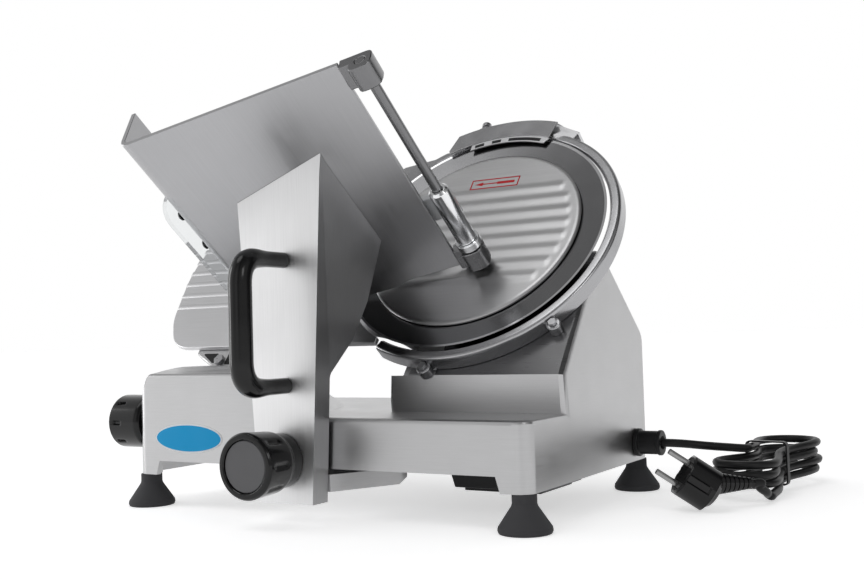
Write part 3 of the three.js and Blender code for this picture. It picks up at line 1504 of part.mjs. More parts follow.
shieldScrewPlaces.forEach((y, i) => {
  const screw = turned([
    [0, shieldOuter - shieldScrewHead],
    [shieldScrew * 0.7, shieldOuter - shieldScrewHead],
    [shieldScrew, shieldOuter - shieldScrewHead / 2],
    [shieldScrew, shieldOuter],
    [shieldScrew / 2, shieldOuter],
    [shieldScrew / 2, -trayLeft - seatGap],
    [0, -trayLeft - seatGap],
  ], 'x', small).translate(0, y, shieldScrewZ);
  slope.add(mesh(['guard_screw_high', 'guard_screw_low'][i], screw, blackPlastic()));
});

// ---- Mains cord: gland, free stretch, hank with its tie, lead and plug ----
const cordRadius = cordDiameter / 2;
const gland = turned([
  [0, seatGap],
  [glandFlange, seatGap],
  [glandFlange, glandFlangeThickness],
  [glandBody, glandFlangeThickness * 1.3],
  [glandBody, glandLength * 0.5],
  [cordRadius * 1.5, glandLength],
  [0, glandLength],
], 'x', 24).translate(0, glandFromFront, glandHeight);
whole.add(mesh('cord_gland', gland, blackPlastic()));

// The hank's centre line: long loops of one width each side, wound from the top layer down.
// Each loop narrows or widens steadily, and drops a layer along the far run.
const hankTop = cordRadius + tieSheet + seatGap * 3 + hankLayers * hankPitch;
const hankHalfRun = hankRun / 2;
const hankAxis = new THREE.Vector2(
  Math.sin(THREE.MathUtils.degToRad(-hankTurn)),
  Math.cos(THREE.MathUtils.degToRad(hankTurn)),
);
const hankSide = new THREE.Vector2(hankAxis.y, -hankAxis.x);
const onHank = (along, across, z) => new THREE.Vector3(
  hankX - hankAxis.x * along + hankSide.x * across,
  hankY + hankAxis.y * along - hankSide.y * across,
  z,
);
function hankCentre(turns) {
  const layer = Math.floor(turns);
  const part = turns - layer;
  const inward = layer % 2 === 0 ? part : 1 - part;
  const half = hankFold + (hankNarrow - hankFold) * inward;
  const fold = Math.PI * half;
  const loopLength = 2 * hankRun + 2 * fold;
  const drawn = (along) => half - (half - hankWaist * (half / hankFold)) * Math.cos((along / hankRun) * Math.PI) ** 2;
  let way = part * loopLength;
  let drop = 0;
  let point;
  if (way <= hankHalfRun) {
    point = [way, -drawn(way)];
  } else if (way <= hankHalfRun + fold) {
    const turn = ((way - hankHalfRun) / fold) * Math.PI;
    point = [hankHalfRun + half * Math.sin(turn), -half * Math.cos(turn)];
  } else if (way <= hankHalfRun + fold + hankRun) {
    way -= hankHalfRun + fold;
    drop = way / hankRun;
    point = [hankHalfRun - way, drawn(hankHalfRun - way)];
  } else if (way <= hankHalfRun + 2 * fold + hankRun) {
    const turn = ((way - hankHalfRun - fold - hankRun) / fold) * Math.PI;
    drop = 1;
    point = [-hankHalfRun - half * Math.sin(turn), half * Math.cos(turn)];
  } else {
    way -= hankHalfRun + 2 * fold + hankRun;
    drop = 1;
    point = [-hankHalfRun + way, -drawn(-hankHalfRun + way)];
  }
  return onHank(point[0], point[1], hankTop - (layer + drop) * hankPitch);
}

// A round or many-sided tube through points, with square ends.
function tubeThrough(points, radius, sides, startWay, endWay) {
  const rings = [];
  let across = new THREE.Vector3(0, 0, 1);
  points.forEach((point, i) => {
    const before = points[Math.max(i - 1, 0)];
    const after = points[Math.min(i + 1, points.length - 1)];
    let along = after.clone().sub(before).normalize();
    if (startWay && i === 0) along = startWay;
    if (endWay && i === points.length - 1) along = endWay;
    across = across.clone().addScaledVector(along, -across.dot(along)).normalize();
    const third = along.clone().cross(across);
    rings.push(Array.from({ length: sides }, (_, k) => {
      const turn = (k / sides) * 2 * Math.PI;
      return point.clone()
        .addScaledVector(across, radius * Math.cos(turn))
        .addScaledVector(third, radius * Math.sin(turn));
    }));
  });
  return loft(rings);
}

const hankSteps = Math.round((hankLayers - hankEndShare) * hankLoopSteps);
const hankPoints = Array.from(
  { length: hankSteps + 1 },
  (_, i) => hankCentre((i * (hankLayers - hankEndShare)) / hankSteps),
);
const reach = (from, to, length) => to.clone().add(to.clone().sub(from).setLength(length));
hankPoints.unshift(reach(hankPoints[1], hankPoints[0], cordDiameter));
hankPoints.push(reach(hankPoints[hankPoints.length - 2], hankPoints[hankPoints.length - 1], cordDiameter));
whole.add(mesh('cord_hank', tubeThrough(hankPoints, cordRadius, hankSides), blackRubber()));

// Least gap of the hank to itself, measured between points of its centre line.
const hankFine = Array.from({ length: 1201 }, (_, i) => hankCentre((i * (hankLayers - hankEndShare)) / 1200));
const hankLengths = [0];
hankFine.slice(1).forEach((point, i) => hankLengths.push(hankLengths[i] + point.distanceTo(hankFine[i])));
let hankGap = Infinity;
hankFine.forEach((one, i) => {
  for (let k = i + 1; k < hankFine.length; k += 1) {
    if (hankLengths[k] - hankLengths[i] < cordDiameter * 4) continue;
    hankGap = Math.min(hankGap, one.distanceTo(hankFine[k]) - cordDiameter);
  }
});
console.log(`cord_hank: least gap to itself ${hankGap.toFixed(2)} mm, length ${hankLengths[1200].toFixed(0)} mm`);

// A cord from one end and heading to another, swept as a round tube.
function cordBetween(start, startWay, end, endWay, slack, steps) {
  const curve = new THREE.CatmullRomCurve3([
    start,
    start.clone().addScaledVector(startWay, cordDiameter),
    ...slack,
    end.clone().addScaledVector(endWay, -cordDiameter),
    end,
  ], false, 'centripetal');
  const points = curve.getSpacedPoints(steps);
  return tubeThrough(points, cordRadius, 8, startWay, endWay);
}
const hankIn = hankPoints[0];
const hankInWay = hankPoints[1].clone().sub(hankPoints[0]).normalize();
const hankOut = hankPoints[hankPoints.length - 1];
const hankOutWay = hankOut.clone().sub(hankPoints[hankPoints.length - 2]).normalize();
const alongX = new THREE.Vector3(1, 0, 0);
const glandEnd = new THREE.Vector3(glandLength + seatGap, glandFromFront, glandHeight);
const leadIn = cordBetween(
  glandEnd,
  alongX,
  hankIn.clone().addScaledVector(hankInWay, -seatGap),
  hankInWay,
  leadInSlack.map(([x, y, z]) => new THREE.Vector3(x, y, z)),
  14,
);
whole.add(mesh('power_cord', leadIn, blackRubber()));

// Plug: round body with two pins, tipped on the floor, its relief turned back to the hank.
const pinWay = new THREE.Vector3(...plugPinShares).normalize();
const reliefWay = new THREE.Vector3(...plugReliefShares).normalize();
const plugCentre = new THREE.Vector3(plugX, plugY, plugHeight);
const turnTo = (way) => new THREE.Quaternion().setFromUnitVectors(new THREE.Vector3(0, 1, 0), way);
const plugFace = turned([
  [0, 0],
  [plugRadius * 0.8, 0],
  [plugRadius, -plugLength * 0.45],
  [plugRadius, plugLength * 0.08 - plugLength * 0.5],
  [plugRadius * 0.62, -plugLength * 0.9],
  [plugRadius * 0.3, -plugLength],
  [0, -plugLength],
], 'y', 24).translate(0, plugLength / 2, 0).applyQuaternion(turnTo(pinWay));
const relief = turned([
  [0, 0],
  [plugNeck, 0],
  [plugNeck, plugRadius],
  [cordRadius * 1.35, plugRadius + plugReliefLength],
  [0, plugRadius + plugReliefLength],
], 'y', coarse).applyQuaternion(turnTo(reliefWay));
const plugBody = fromManifold(join(plugFace, relief)).translate(...plugCentre.toArray());
whole.add(mesh('plug_body', plugBody, blackPlastic()));
const pinSideways = new THREE.Vector3(0, 0, 1).cross(pinWay).normalize();
['plug_pin_left', 'plug_pin_right'].forEach((name, i) => {
  const side = (i - 1 / 2) * pinSpacing;
  const base = plugCentre.clone()
    .addScaledVector(pinWay, plugLength / 2 + seatGap)
    .addScaledVector(pinSideways, side);
  const pin = turned([
    [0, 0],
    [pinRadius, 0],
    [pinRadius, pinLength - pinRadius],
    [pinRadius * 0.6, pinLength - pinRadius * 0.3],
    [0, pinLength],
  ], 'y', small).applyQuaternion(turnTo(pinWay)).translate(...base.toArray());
  whole.add(mesh(name, pin, steel()));
});
const reliefEnd = plugCentre.clone().addScaledVector(reliefWay, plugRadius + plugReliefLength + seatGap);
const leadOut = cordBetween(
  hankOut.clone().addScaledVector(hankOutWay, seatGap),
  hankOutWay,
  reliefEnd,
  reliefWay.clone().negate(),
  leadOutSlack.map(([x, y, z]) => new THREE.Vector3(x, y, z)),
  10,
);
whole.add(mesh('plug_lead', leadOut, blackRubber()));

// Tie round the waist of the hank.
const tieHalf = hankWaist + cordRadius + seatGap * 2;
const tieLow = hankTop - (hankLayers - 1 / 2) * hankPitch - cordRadius - seatGap * 2;
const tieHigh = hankTop + cordRadius + seatGap * 2;
const tieRing = (away) => outline([
  [-tieHalf - away, tieLow - away, cordRadius + away],
  [tieHalf + away, tieLow - away, cordRadius + away],
  [tieHalf + away, tieHigh + away, cordRadius + away],
  [-tieHalf - away, tieHigh + away, cordRadius + away],
], 3);
const tieShape = tieRing(tieSheet);
tieShape.holes.push(new THREE.Path(tieRing(0).getPoints()));
const tie = sweptY(tieShape, -tieWidth / 2, tieWidth / 2)
  .rotateZ(THREE.MathUtils.degToRad(-hankTurn))
  .translate(hankX, hankY, 0);
whole.add(mesh('cord_tie', tie, blackPlastic()));

// ---- Origin: middle of the underside, cord left out ----
const cordPieces = ['power_cord', 'cord_hank', 'cord_tie', 'plug_lead', 'plug_body', 'plug_pin_left', 'plug_pin_right'];
whole.updateMatrixWorld(true);
const bounds = new THREE.Box3();
whole.traverse((piece) => {
  if (piece.isMesh && !cordPieces.includes(piece.name)) bounds.expandByObject(piece, true);
});
const middle = bounds.getCenter(new THREE.Vector3());
whole.position.set(-middle.x, -middle.y, -bounds.min.z);
whole.updateMatrixWorld(true);

export default whole;
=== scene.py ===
"""Looks of an electric gravity-feed food slicer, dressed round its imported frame.

Sizes in the classes are millimetres, in one of three frames: the front right corner of
the base on the floor, the blade's axis, or the sloping food tray. Every finished piece
lies in metres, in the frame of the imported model.
"""

import logging
import math
from dataclasses import dataclass
from enum import Enum
from typing import Callable, Iterable, Sequence

import bmesh
import bpy
from mathutils import Matrix, Vector


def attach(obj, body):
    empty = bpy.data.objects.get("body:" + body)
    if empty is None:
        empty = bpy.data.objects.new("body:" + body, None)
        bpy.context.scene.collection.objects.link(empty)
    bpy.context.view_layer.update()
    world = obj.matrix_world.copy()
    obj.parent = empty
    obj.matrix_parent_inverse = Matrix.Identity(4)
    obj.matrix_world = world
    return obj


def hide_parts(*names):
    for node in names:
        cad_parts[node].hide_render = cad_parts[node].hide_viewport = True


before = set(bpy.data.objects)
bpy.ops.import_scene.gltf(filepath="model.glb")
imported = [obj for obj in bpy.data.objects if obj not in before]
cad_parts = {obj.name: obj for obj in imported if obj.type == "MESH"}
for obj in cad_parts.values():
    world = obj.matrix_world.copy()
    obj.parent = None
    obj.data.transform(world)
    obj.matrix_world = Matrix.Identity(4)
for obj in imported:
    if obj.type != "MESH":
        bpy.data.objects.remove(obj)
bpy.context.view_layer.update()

LOG = logging.getLogger("slicer")
MM = 0.001

Point = tuple[float, float, float]
Pair = tuple[float, float]
Colour = tuple[float, float, float]


def millimetres(x: float, y: float, z: float) -> Vector:
    """A point given in millimetres, in metres."""
    return Vector((x, y, z)) * MM


CORNER = Matrix.Translation(millimetres(211, -89.699, 0))
BLADE = (
    CORNER
    @ Matrix.Translation(millimetres(-117, 141.6, 234.8))
    @ Matrix.Rotation(math.radians(-38.24), 4, "X")
)
TRAY = BLADE @ Matrix.Rotation(math.radians(-16.29), 4, "Y")


class Body(Enum):
    """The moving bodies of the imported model."""

    MACHINE = "machine"
    BLADE_SET = "blade_set"
    MOTOR_ROTOR = "motor_rotor"
    COVER_LOCK = "cover_lock"
    GRINDER = "grinder"
    HONER = "honer"
    GAUGE = "gauge"
    DIAL = "dial"
    OFF_SWITCH = "off_switch"
    ON_SWITCH = "on_switch"
    CARRIAGE = "carriage"
    ARM_LOCK = "arm_lock"
    PUSHER_SLIDER = "pusher_slider"
    PUSHER_ARM = "pusher_arm"


class Axis(Enum):
    """The axis that a turned piece is turned about."""

    X = 0
    Y = 1
    Z = 2


# Finishes


class Graph:
    """A material's nodes, added and linked with short calls."""

    def __init__(self, name: str) -> None:
        """Starts an empty material.

        Args:
            name: The material's name.
        """
        self.material = bpy.data.materials.new(name)
        self.material.use_nodes = True
        self.tree = self.material.node_tree
        self.tree.nodes.clear()
        self.output = self.tree.nodes.new("ShaderNodeOutputMaterial")

    def add(self, kind: str, inputs: dict | None = None, **settings: object) -> bpy.types.Node:
        """Adds a node.

        Args:
            kind: The node's type, without the ShaderNode in front.
            inputs: Values or sockets for its inputs, by name or number.
            **settings: The node's own settings.

        Returns:
            The node.
        """
        node = self.tree.nodes.new("ShaderNode" + kind)
        for key, value in settings.items():
            setattr(node, key, value)
        for key, value in (inputs or {}).items():
            if isinstance(value, bpy.types.NodeSocket):
                self.tree.links.new(value, node.inputs[key])
            else:
                node.inputs[key].default_value = value
        return node

    def math(
        self, operation: str, one: bpy.types.NodeSocket, two: bpy.types.NodeSocket | float
    ) -> bpy.types.NodeSocket:
        """Puts two values through a Math node's operation.

        Args:
            operation: The operation.
            one: The first value.
            two: The second value.

        Returns:
            The result's socket.
        """
        return self.add("Math", {0: one, 1: two}, operation=operation).outputs[0]

    def local(self, place: Matrix, lengths: Point = (1, 1, 1)) -> bpy.types.NodeSocket:
        """Object coordinates turned into a frame, and stretched.

        Args:
            place: The frame.
            lengths: How long one unit of the pattern is along each axis, in metres.

        Returns:
            The coordinates' socket.
        """
        where = self.add("TexCoord").outputs["Object"]
        mapping = self.add(
            "Mapping",
            {
                "Vector": where,
                "Location": place.to_translation(),
                "Rotation": place.to_euler(),
                "Scale": lengths,
            },
            vector_type="TEXTURE",
        )
        return mapping.outputs[0]

    def noise(self, where: bpy.types.NodeSocket, scale: float, detail: float = 3.0) -> bpy.types.NodeSocket:
        """Noise from 0 to 1, about 0.5.

        Args:
            where: Its coordinates.
            scale: How many features to a unit.
            detail: How many finer layers.

        Returns:
            The noise's socket.
        """
        node = self.add("TexNoise", {"Vector": where, "Scale": scale, "Detail": detail})
        return node.outputs[0]

    def spread(self, value: bpy.types.NodeSocket, low: float, high: float) -> bpy.types.NodeSocket:
        """Noise spread from one value to another.

        Args:
            value: The noise.
            low: The value where the noise is low.
            high: The value where it is high.

        Returns:
            The spread value's socket.
        """
        node = self.add(
            "MapRange",
            {"Value": value, "From Min": 0.3, "From Max": 0.7, "To Min": low, "To Max": high},
        )
        return node.outputs[0]

    def tinted(self, colour: Colour, shade: bpy.types.NodeSocket) -> bpy.types.NodeSocket:
        """A colour made lighter and darker.

        Args:
            colour: The colour.
            shade: A value about 1 to multiply it by.

        Returns:
            The colour's socket.
        """
        node = self.add("VectorMath", {0: colour, "Scale": shade}, operation="SCALE")
        return node.outputs["Vector"]

    def bump(self, height: bpy.types.NodeSocket, depth: float, strength: float = 1.0) -> bpy.types.NodeSocket:
        """A bumped normal.

        Args:
            height: The height, from 0 to 1.
            depth: How deep the bumps are, in metres.
            strength: How strongly they show.

        Returns:
            The normal's socket.
        """
        node = self.add("Bump", {"Height": height, "Distance": depth, "Strength": strength})
        return node.outputs[0]

    def close(self, shader: bpy.types.Node) -> bpy.types.Material:
        """Links the shader to the output and returns the material."""
        self.tree.links.new(shader.outputs[0], self.output.inputs["Surface"])
        return self.material


class WorldGraph(Graph):
    """The world's nodes."""

    def __init__(self, name: str) -> None:
        """Starts an empty world and sets it as the scene's.

        Args:
            name: The world's name.
        """
        world = bpy.data.worlds.new(name)
        bpy.context.scene.world = world
        world.use_nodes = True
        self.tree = world.node_tree
        self.tree.nodes.clear()


@dataclass(frozen=True)
class Finish:
    """A finish of one of the record's material slots.

    Attributes:
        name: The finish's name.
        slot: The record's slot.
        colour: The main colour.
        roughness: How rough it is.
    """

    name: str
    slot: str
    colour: Colour
    roughness: float

    def made(self) -> bpy.types.Material:
        """Returns the material, making it the first time."""
        found = bpy.data.materials.get(self.name)
        return found if found else self.build(Graph(self.name))

    def build(self, graph: Graph) -> bpy.types.Material:
        """Builds the material in an empty graph."""
        raise NotImplementedError


@dataclass(frozen=True)
class Metal(Finish):
    """Metal with a brushed, turned or cast grain.

    Attributes:
        place: The frame that the grain runs in.
        grain: Length of the grain along each axis of that frame, in metres.
        depth: Depth of the grain, in metres.
        cloud: How far the colour wanders over the piece.
        turned: Whether the grain runs in rings round the frame's Y axis.
        metallic: How metallic it is.
    """

    place: Matrix = CORNER
    grain: Point = (0.03, 0.0007, 0.0007)
    depth: float = 0.0000015
    cloud: float = 0.03
    turned: bool = False
    metallic: float = 1.0

    def build(self, graph: Graph) -> bpy.types.Material:
        """Builds the metal."""
        where = graph.local(self.place, (1, 1, 1) if self.turned else self.grain)
        if self.turned:
            flat = graph.add("VectorMath", {0: where, 1: (1, 0, 1)}, operation="MULTIPLY").outputs[0]
            radius = graph.add("VectorMath", {0: flat}, operation="LENGTH").outputs["Value"]
            rings = graph.math("MULTIPLY", radius, 1 / self.grain[1])
            where = graph.add("CombineXYZ", {"X": rings}).outputs[0]
        lines = graph.noise(where, 1.0, 2.0)
        broad = graph.noise(graph.local(CORNER), 9.0, 3.0)
        wear = graph.noise(graph.local(CORNER), 60.0, 4.0)
        shade = graph.math(
            "MULTIPLY", graph.spread(broad, 1 - self.cloud, 1 + self.cloud), graph.spread(lines, 0.97, 1.03)
        )
        rough = graph.add(
            "Math",
            {
                0: graph.spread(lines, self.roughness * 0.9, self.roughness * 1.1),
                1: graph.spread(wear, -0.015, 0.015),
            },
            operation="ADD",
            use_clamp=True,
        ).outputs[0]
        shader = graph.add(
            "BsdfPrincipled",
            {
                "Base Color": graph.tinted(self.colour, shade),
                "Metallic": self.metallic,
                "Roughness": rough,
                "Normal": graph.bump(lines, self.depth),
            },
        )
        return graph.close(shader)


@dataclass(frozen=True)
class Moulded(Finish):
    """Moulded plastic or rubber, with a fine skin and faint dust.

    Attributes:
        skin: Size of the moulded texture, in metres.
        depth: Its depth, in metres.
        dust: How much lighter its dusty patches are.
        gloss: How strongly it reflects.
    """

    skin: float = 0.0012
    depth: float = 0.00001
    dust: float = 0.02
    gloss: float = 0.22

    def build(self, graph: Graph) -> bpy.types.Material:
        """Builds the plastic or rubber."""
        where = graph.local(CORNER)
        skin = graph.noise(where, 1 / self.skin, 3.0)
        patches = graph.noise(where, 40.0, 5.0)
        dusty = graph.add(
            "Mix",
            {
                0: graph.spread(patches, 0.0, 1.0),
                6: (*self.colour, 1.0),
                7: (*[c + self.dust for c in self.colour], 1.0),
            },
            data_type="RGBA",
        ).outputs[2]
        shader = graph.add(
            "BsdfPrincipled",
            {
                "Base Color": dusty,
                "Roughness": graph.spread(patches, self.roughness * 0.85, self.roughness * 1.2),
                "Normal": graph.bump(skin, self.depth),
                "Specular IOR Level": self.gloss,
            },
        )
        return graph.close(shader)


@dataclass(frozen=True)
class Clear(Finish):
    """Clear acrylic with faint smears."""

    def build(self, graph: Graph) -> bpy.types.Material:
        """Builds the acrylic."""
        smears = graph.noise(graph.local(CORNER, (0.03, 0.01, 0.03)), 1.0, 4.0)
        shader = graph.add(
            "BsdfPrincipled",
            {
                "Base Color": graph.tinted(self.colour, graph.spread(smears, 0.97, 1.0)),
                "Roughness": graph.spread(smears, self.roughness * 0.5, self.roughness * 1.6),
                "IOR": 1.1,
                "Transmission Weight": 1.0,
            },
        )
        return graph.close(shader)


CASTING = Metal("satin_casting", "cast_aluminium", (0.5, 0.5, 0.505), 0.34, grain=(0.03, 0.03, 0.0009))
HOUSING = Metal(
    "satin_guard", "cast_aluminium", (0.4, 0.4, 0.41), 0.24, place=BLADE, grain=(0.02, 0.0008, 0.02)
)
# Painted shade: a darker copy of the casting finish, for the housing's sloping faces that lie in shade under
# the blade.
SHADED_SLOPE = Metal("painted_shade_slope", "cast_aluminium", (0.15, 0.15, 0.153), 0.3, grain=(0.03, 0.03, 0.0009))
PLATE = Metal(
    "brushed_plate", "cast_aluminium", (0.62, 0.62, 0.63), 0.36, place=BLADE, grain=(0.05, 0.001, 0.0007)
)
TRAY_SHEET = Metal(
    "brushed_tray", "cast_aluminium", (0.42, 0.42, 0.43), 0.33, place=TRAY, grain=(0.0009, 0.05, 0.0009)
)
PANEL = Metal("bright_panel", "arm_panel", (0.77, 0.77, 0.775), 0.4, grain=(0.0008, 0.02, 0.05), cloud=0.06)
# Painted shade: a darker copy of the arm's panel finish, for its faces that look aside or back.
SHADED_SIDE = Metal("painted_shade_side", "arm_panel", (0.4, 0.4, 0.405), 0.32, grain=(0.0009, 0.0009, 0.05), cloud=0.1)
COVER = Metal(
    "satin_cover", "cast_aluminium", (0.46, 0.46, 0.465), 0.32, place=BLADE, grain=(0.05, 0.001, 0.0009)
)
BLADE_LAND = Metal(
    "ground_blade", "steel", (0.2, 0.2, 0.205), 0.22, place=BLADE, grain=(1, 0.0006, 1), turned=True
)
BLADE_EDGE = Metal(
    "honed_edge", "steel", (0.62, 0.62, 0.63), 0.18, place=BLADE, grain=(1, 0.0004, 1), turned=True
)
CHROME = Metal(
    "polished_steel", "polished_steel", (0.3, 0.3, 0.305), 0.18,
    place=TRAY, grain=(0.03, 0.05, 0.03), depth=0, cloud=0.02,
)
ROD = Metal(
    "polished_rod", "polished_steel", (0.21, 0.21, 0.215), 0.28,
    place=TRAY, grain=(0.03, 0.05, 0.03), depth=0, cloud=0.02,
)
STEEL = Metal("machined_steel", "steel", (0.4, 0.4, 0.41), 0.3, grain=(0.004, 0.0005, 0.004))
NICKEL = Metal("nickel_pins", "polished_steel", (0.3, 0.3, 0.3), 0.2, grain=(0.004, 0.004, 0.004), depth=0)
GLOSS_BLACK = Moulded("gloss_black", "black_plastic", (0.003, 0.003, 0.0035), 0.16, dust=0.002, gloss=0.34)
SATIN_BLACK = Moulded("satin_black", "black_plastic", (0.008, 0.008, 0.009), 0.36, dust=0.006, depth=0.00001)
DISC_GREY = Moulded("disc_grey", "black_plastic", (0.11, 0.11, 0.115), 0.42, dust=0.012, gloss=0.4)
RUBBER = Moulded("black_rubber", "black_rubber", (0.004, 0.004, 0.0045), 0.32, dust=0.003, gloss=0.14)
CABLE = Moulded("cable_jacket", "black_rubber", (0.01, 0.01, 0.0105), 0.38, dust=0.008, depth=0.00001)
GREY_PLASTIC = Moulded("satin_grey", "grey_plastic", (0.5, 0.51, 0.52), 0.45, dust=0.03, depth=0.00002)
STONE = Moulded("fine_abrasive", "abrasive", (0.3, 0.28, 0.25), 0.95, skin=0.0006, depth=0.0002, dust=0.06)
RED = Moulded("red_button", "red_plastic", (0.6, 0.03, 0.025), 0.3, dust=0.02, gloss=0.5)
GREEN = Moulded("green_button", "green_plastic", (0.03, 0.4, 0.12), 0.3, dust=0.02, gloss=0.5)
BLUE = Moulded("badge_blue", "black_plastic", (0.0, 0.37, 0.75), 0.35, dust=0.01)
WHITE = Moulded("badge_white", "grey_plastic", (0.88, 0.9, 0.91), 0.35, dust=0.02)
MARK_RED = Moulded("arrow_red", "red_plastic", (0.5, 0.006, 0.01), 0.4, dust=0.004)
ACRYLIC = Clear("clear_acrylic", "clear_plastic", (0.87, 0.885, 0.89), 0.04)


# Mesh helpers


@dataclass(frozen=True)
class Fit:
    """What a finished piece belongs to.

    Attributes:
        body: The body that it moves with.
        finish: Its finish.
        nodes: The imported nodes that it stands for.
        second: A second finish, for the faces that ask for it.
    """

    body: Body
    finish: Finish
    nodes: tuple[str, ...] = ()
    second: Finish | None = None


def rounded(profile: Sequence[Sequence[float]], steps: int = 4, closed: bool = False) -> list[Pair]:
    """Rounds a drawn line's corners.

    Args:
        profile: Corners as (x, y) or (x, y, radius).
        steps: Pieces to each rounded corner.
        closed: Whether the line closes on itself.

    Returns:
        The rounded line's points.
    """
    points: list[Pair] = []
    count = len(profile)
    for i, corner in enumerate(profile):
        here = Vector(corner[:2])
        radius = corner[2] if len(corner) > 2 else 0.0
        if radius <= 0 or (not closed and i in (0, count - 1)):
            points.append(tuple(here))
            continue
        back = Vector(profile[i - 1][:2]) - here
        on = Vector(profile[(i + 1) % count][:2]) - here
        half = back.angle(on) / 2
        reach = min(radius / max(math.tan(half), 1e-6), back.length * 0.49, on.length * 0.49)
        start, end = here + back.normalized() * reach, here + on.normalized() * reach
        for k in range(steps + 1):
            t = k / steps
            points.append(tuple(start * (1 - t) ** 2 + here * 2 * t * (1 - t) + end * t * t))
    return points


def lathe(
    profile: Sequence[Pair], axis: Axis = Axis.Y, steps: int = 64, closed: bool = False
) -> bmesh.types.BMesh:
    """Turns a profile about an axis through the frame's origin.

    Args:
        profile: Points as (radius, place along the axis).
        axis: The axis.
        steps: Pieces to a turn.
        closed: Whether the profile closes on itself, as a ring's does.

    Returns:
        The turned mesh.
    """
    out = {Axis.X: 1, Axis.Y: 0, Axis.Z: 0}[axis]
    bm = bmesh.new()
    verts = []
    for radius, along in profile:
        place = [0.0, 0.0, 0.0]
        place[out] = radius
        place[axis.value] = along
        verts.append(bm.verts.new(place))
    pairs = list(zip(verts, verts[1:])) + ([(verts[-1], verts[0])] if closed else [])
    edges = [bm.edges.new(pair) for pair in pairs]
    way = [0.0, 0.0, 0.0]
    way[axis.value] = 1.0
    bmesh.ops.spin(
        bm, geom=verts + edges, cent=(0, 0, 0), axis=way, angle=2 * math.pi, steps=steps, use_merge=True
    )
    bmesh.ops.remove_doubles(bm, verts=bm.verts, dist=1e-4)
    bmesh.ops.recalc_face_normals(bm, faces=bm.faces)
    return bm


def plate(
    outline: Sequence[Pair], low: float, high: float, axis: Axis, edge: float = 0.0
) -> bmesh.types.BMesh:
    """Extrudes a closed outline, and rounds its edges.

    Args:
        outline: Points in the plane across the axis, as (x, z), (y, z) or (x, y).
        low: Where it starts along the axis.
        high: Where it ends.
        axis: The axis.
        edge: Radius of its rounded edges.

    Returns:
        The plate.
    """
    across = [i for i in range(3) if i != axis.value]
    bm = bmesh.new()
    verts = []
    for point in outline:
        place = [0.0, 0.0, 0.0]
        place[across[0]], place[across[1]] = point
        place[axis.value] = low
        verts.append(bm.verts.new(place))
    face = bm.faces.new(verts)
    top = bmesh.ops.extrude_face_region(bm, geom=[face])["geom"]
    way = [0.0, 0.0, 0.0]
    way[axis.value] = high - low
    bmesh.ops.translate(bm, vec=way, verts=[v for v in top if isinstance(v, bmesh.types.BMVert)])
    bmesh.ops.recalc_face_normals(bm, faces=bm.faces)
    if edge > 0:
        ease(bm, edge)
    return bm


def ease(bm: bmesh.types.BMesh, width: float, segments: int = 3, sharper: float = 38.0) -> None:
    """Rounds a mesh's sharp edges.

    Args:
        bm: The mesh.
        width: The rounding's width.
        segments: Pieces to a rounding.
        sharper: Edges that turn more than this many degrees are rounded.
    """
    limit = math.radians(sharper)
    sharp = [e for e in bm.edges if len(e.link_faces) == 2 and e.calc_face_angle(0) > limit]
    bmesh.ops.bevel(
        bm,
        geom=sharp,
        offset=width,
        segments=segments,
        profile=0.5,
        affect="EDGES",
        clamp_overlap=True,
        material=-1,
    )


def shifted(bm: bmesh.types.BMesh, move: Callable[[Vector], Vector]) -> bmesh.types.BMesh:
    """Moves each vertex of a mesh by a rule, and returns the mesh."""
    for vert in bm.verts:
        vert.co = move(vert.co)
    return bm


def joined(*parts: bmesh.types.BMesh) -> bmesh.types.BMesh:
    """Puts several meshes into one, as separate shells."""
    whole = bmesh.new()
    for part in parts:
        mesh = bpy.data.meshes.new("joining")
        part.to_mesh(mesh)
        part.free()
        whole.from_mesh(mesh)
        bpy.data.meshes.remove(mesh)
    return whole


def moved(bm: bmesh.types.BMesh, place: Matrix) -> bmesh.types.BMesh:
    """Moves a mesh by a matrix in millimetres, and returns it."""
    bmesh.ops.transform(bm, matrix=place, verts=bm.verts)
    return bm


def shaded(piece: bpy.types.Object, angle: float = 38.0) -> None:
    """Shades a piece smooth between its sharp edges.

    Args:
        piece: The piece.
        angle: The sharp edges' least angle, in degrees.
    """
    mesh = piece.data
    mesh.shade_smooth()
    mesh.set_sharp_from_angle(angle=math.radians(angle))
    weighted = piece.modifiers.new("even_shading", "WEIGHTED_NORMAL")
    weighted.keep_sharp = True


def placed(name: str, mesh: bpy.types.Mesh | bpy.types.Curve, fit: Fit) -> bpy.types.Object:
    """Makes a piece of a mesh that is in place, dresses it and sets it on its body.

    Args:
        name: The piece's name.
        mesh: The mesh or curve, in metres.
        fit: What it belongs to.

    Returns:
        The piece.
    """
    piece = bpy.data.objects.new(name, mesh)
    bpy.context.scene.collection.objects.link(piece)
    for finish in (fit.finish, fit.second):
        if finish:
            mesh.materials.append(finish.made())
    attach(piece, fit.body.value)
    if fit.nodes:
        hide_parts(*fit.nodes)
    return piece


def finished(name: str, bm: bmesh.types.BMesh, fit: Fit, angle: float = 38.0) -> bpy.types.Object:
    """Turns a mesh drawn in metres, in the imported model's frame, into a finished piece.

    Args:
        name: The piece's name.
        bm: The mesh, which is used up.
        fit: What it belongs to.
        angle: The sharp edges' least angle, in degrees.

    Returns:
        The piece.
    """
    mesh = bpy.data.meshes.new(name)
    bm.to_mesh(mesh)
    bm.free()
    piece = placed(name, mesh, fit)
    shaded(piece, angle)
    return piece


def settle(
    name: str, bm: bmesh.types.BMesh, place: Matrix, fit: Fit, angle: float = 38.0
) -> bpy.types.Object:
    """Turns a mesh drawn in millimetres into a finished piece.

    Args:
        name: The piece's name.
        bm: The mesh, which is used up.
        place: The frame that it is drawn in.
        fit: What it belongs to.
        angle: The sharp edges' least angle, in degrees.

    Returns:
        The piece.
    """
    bmesh.ops.transform(bm, matrix=place @ Matrix.Scale(MM, 4), verts=bm.verts)
    return finished(name, bm, fit, angle)


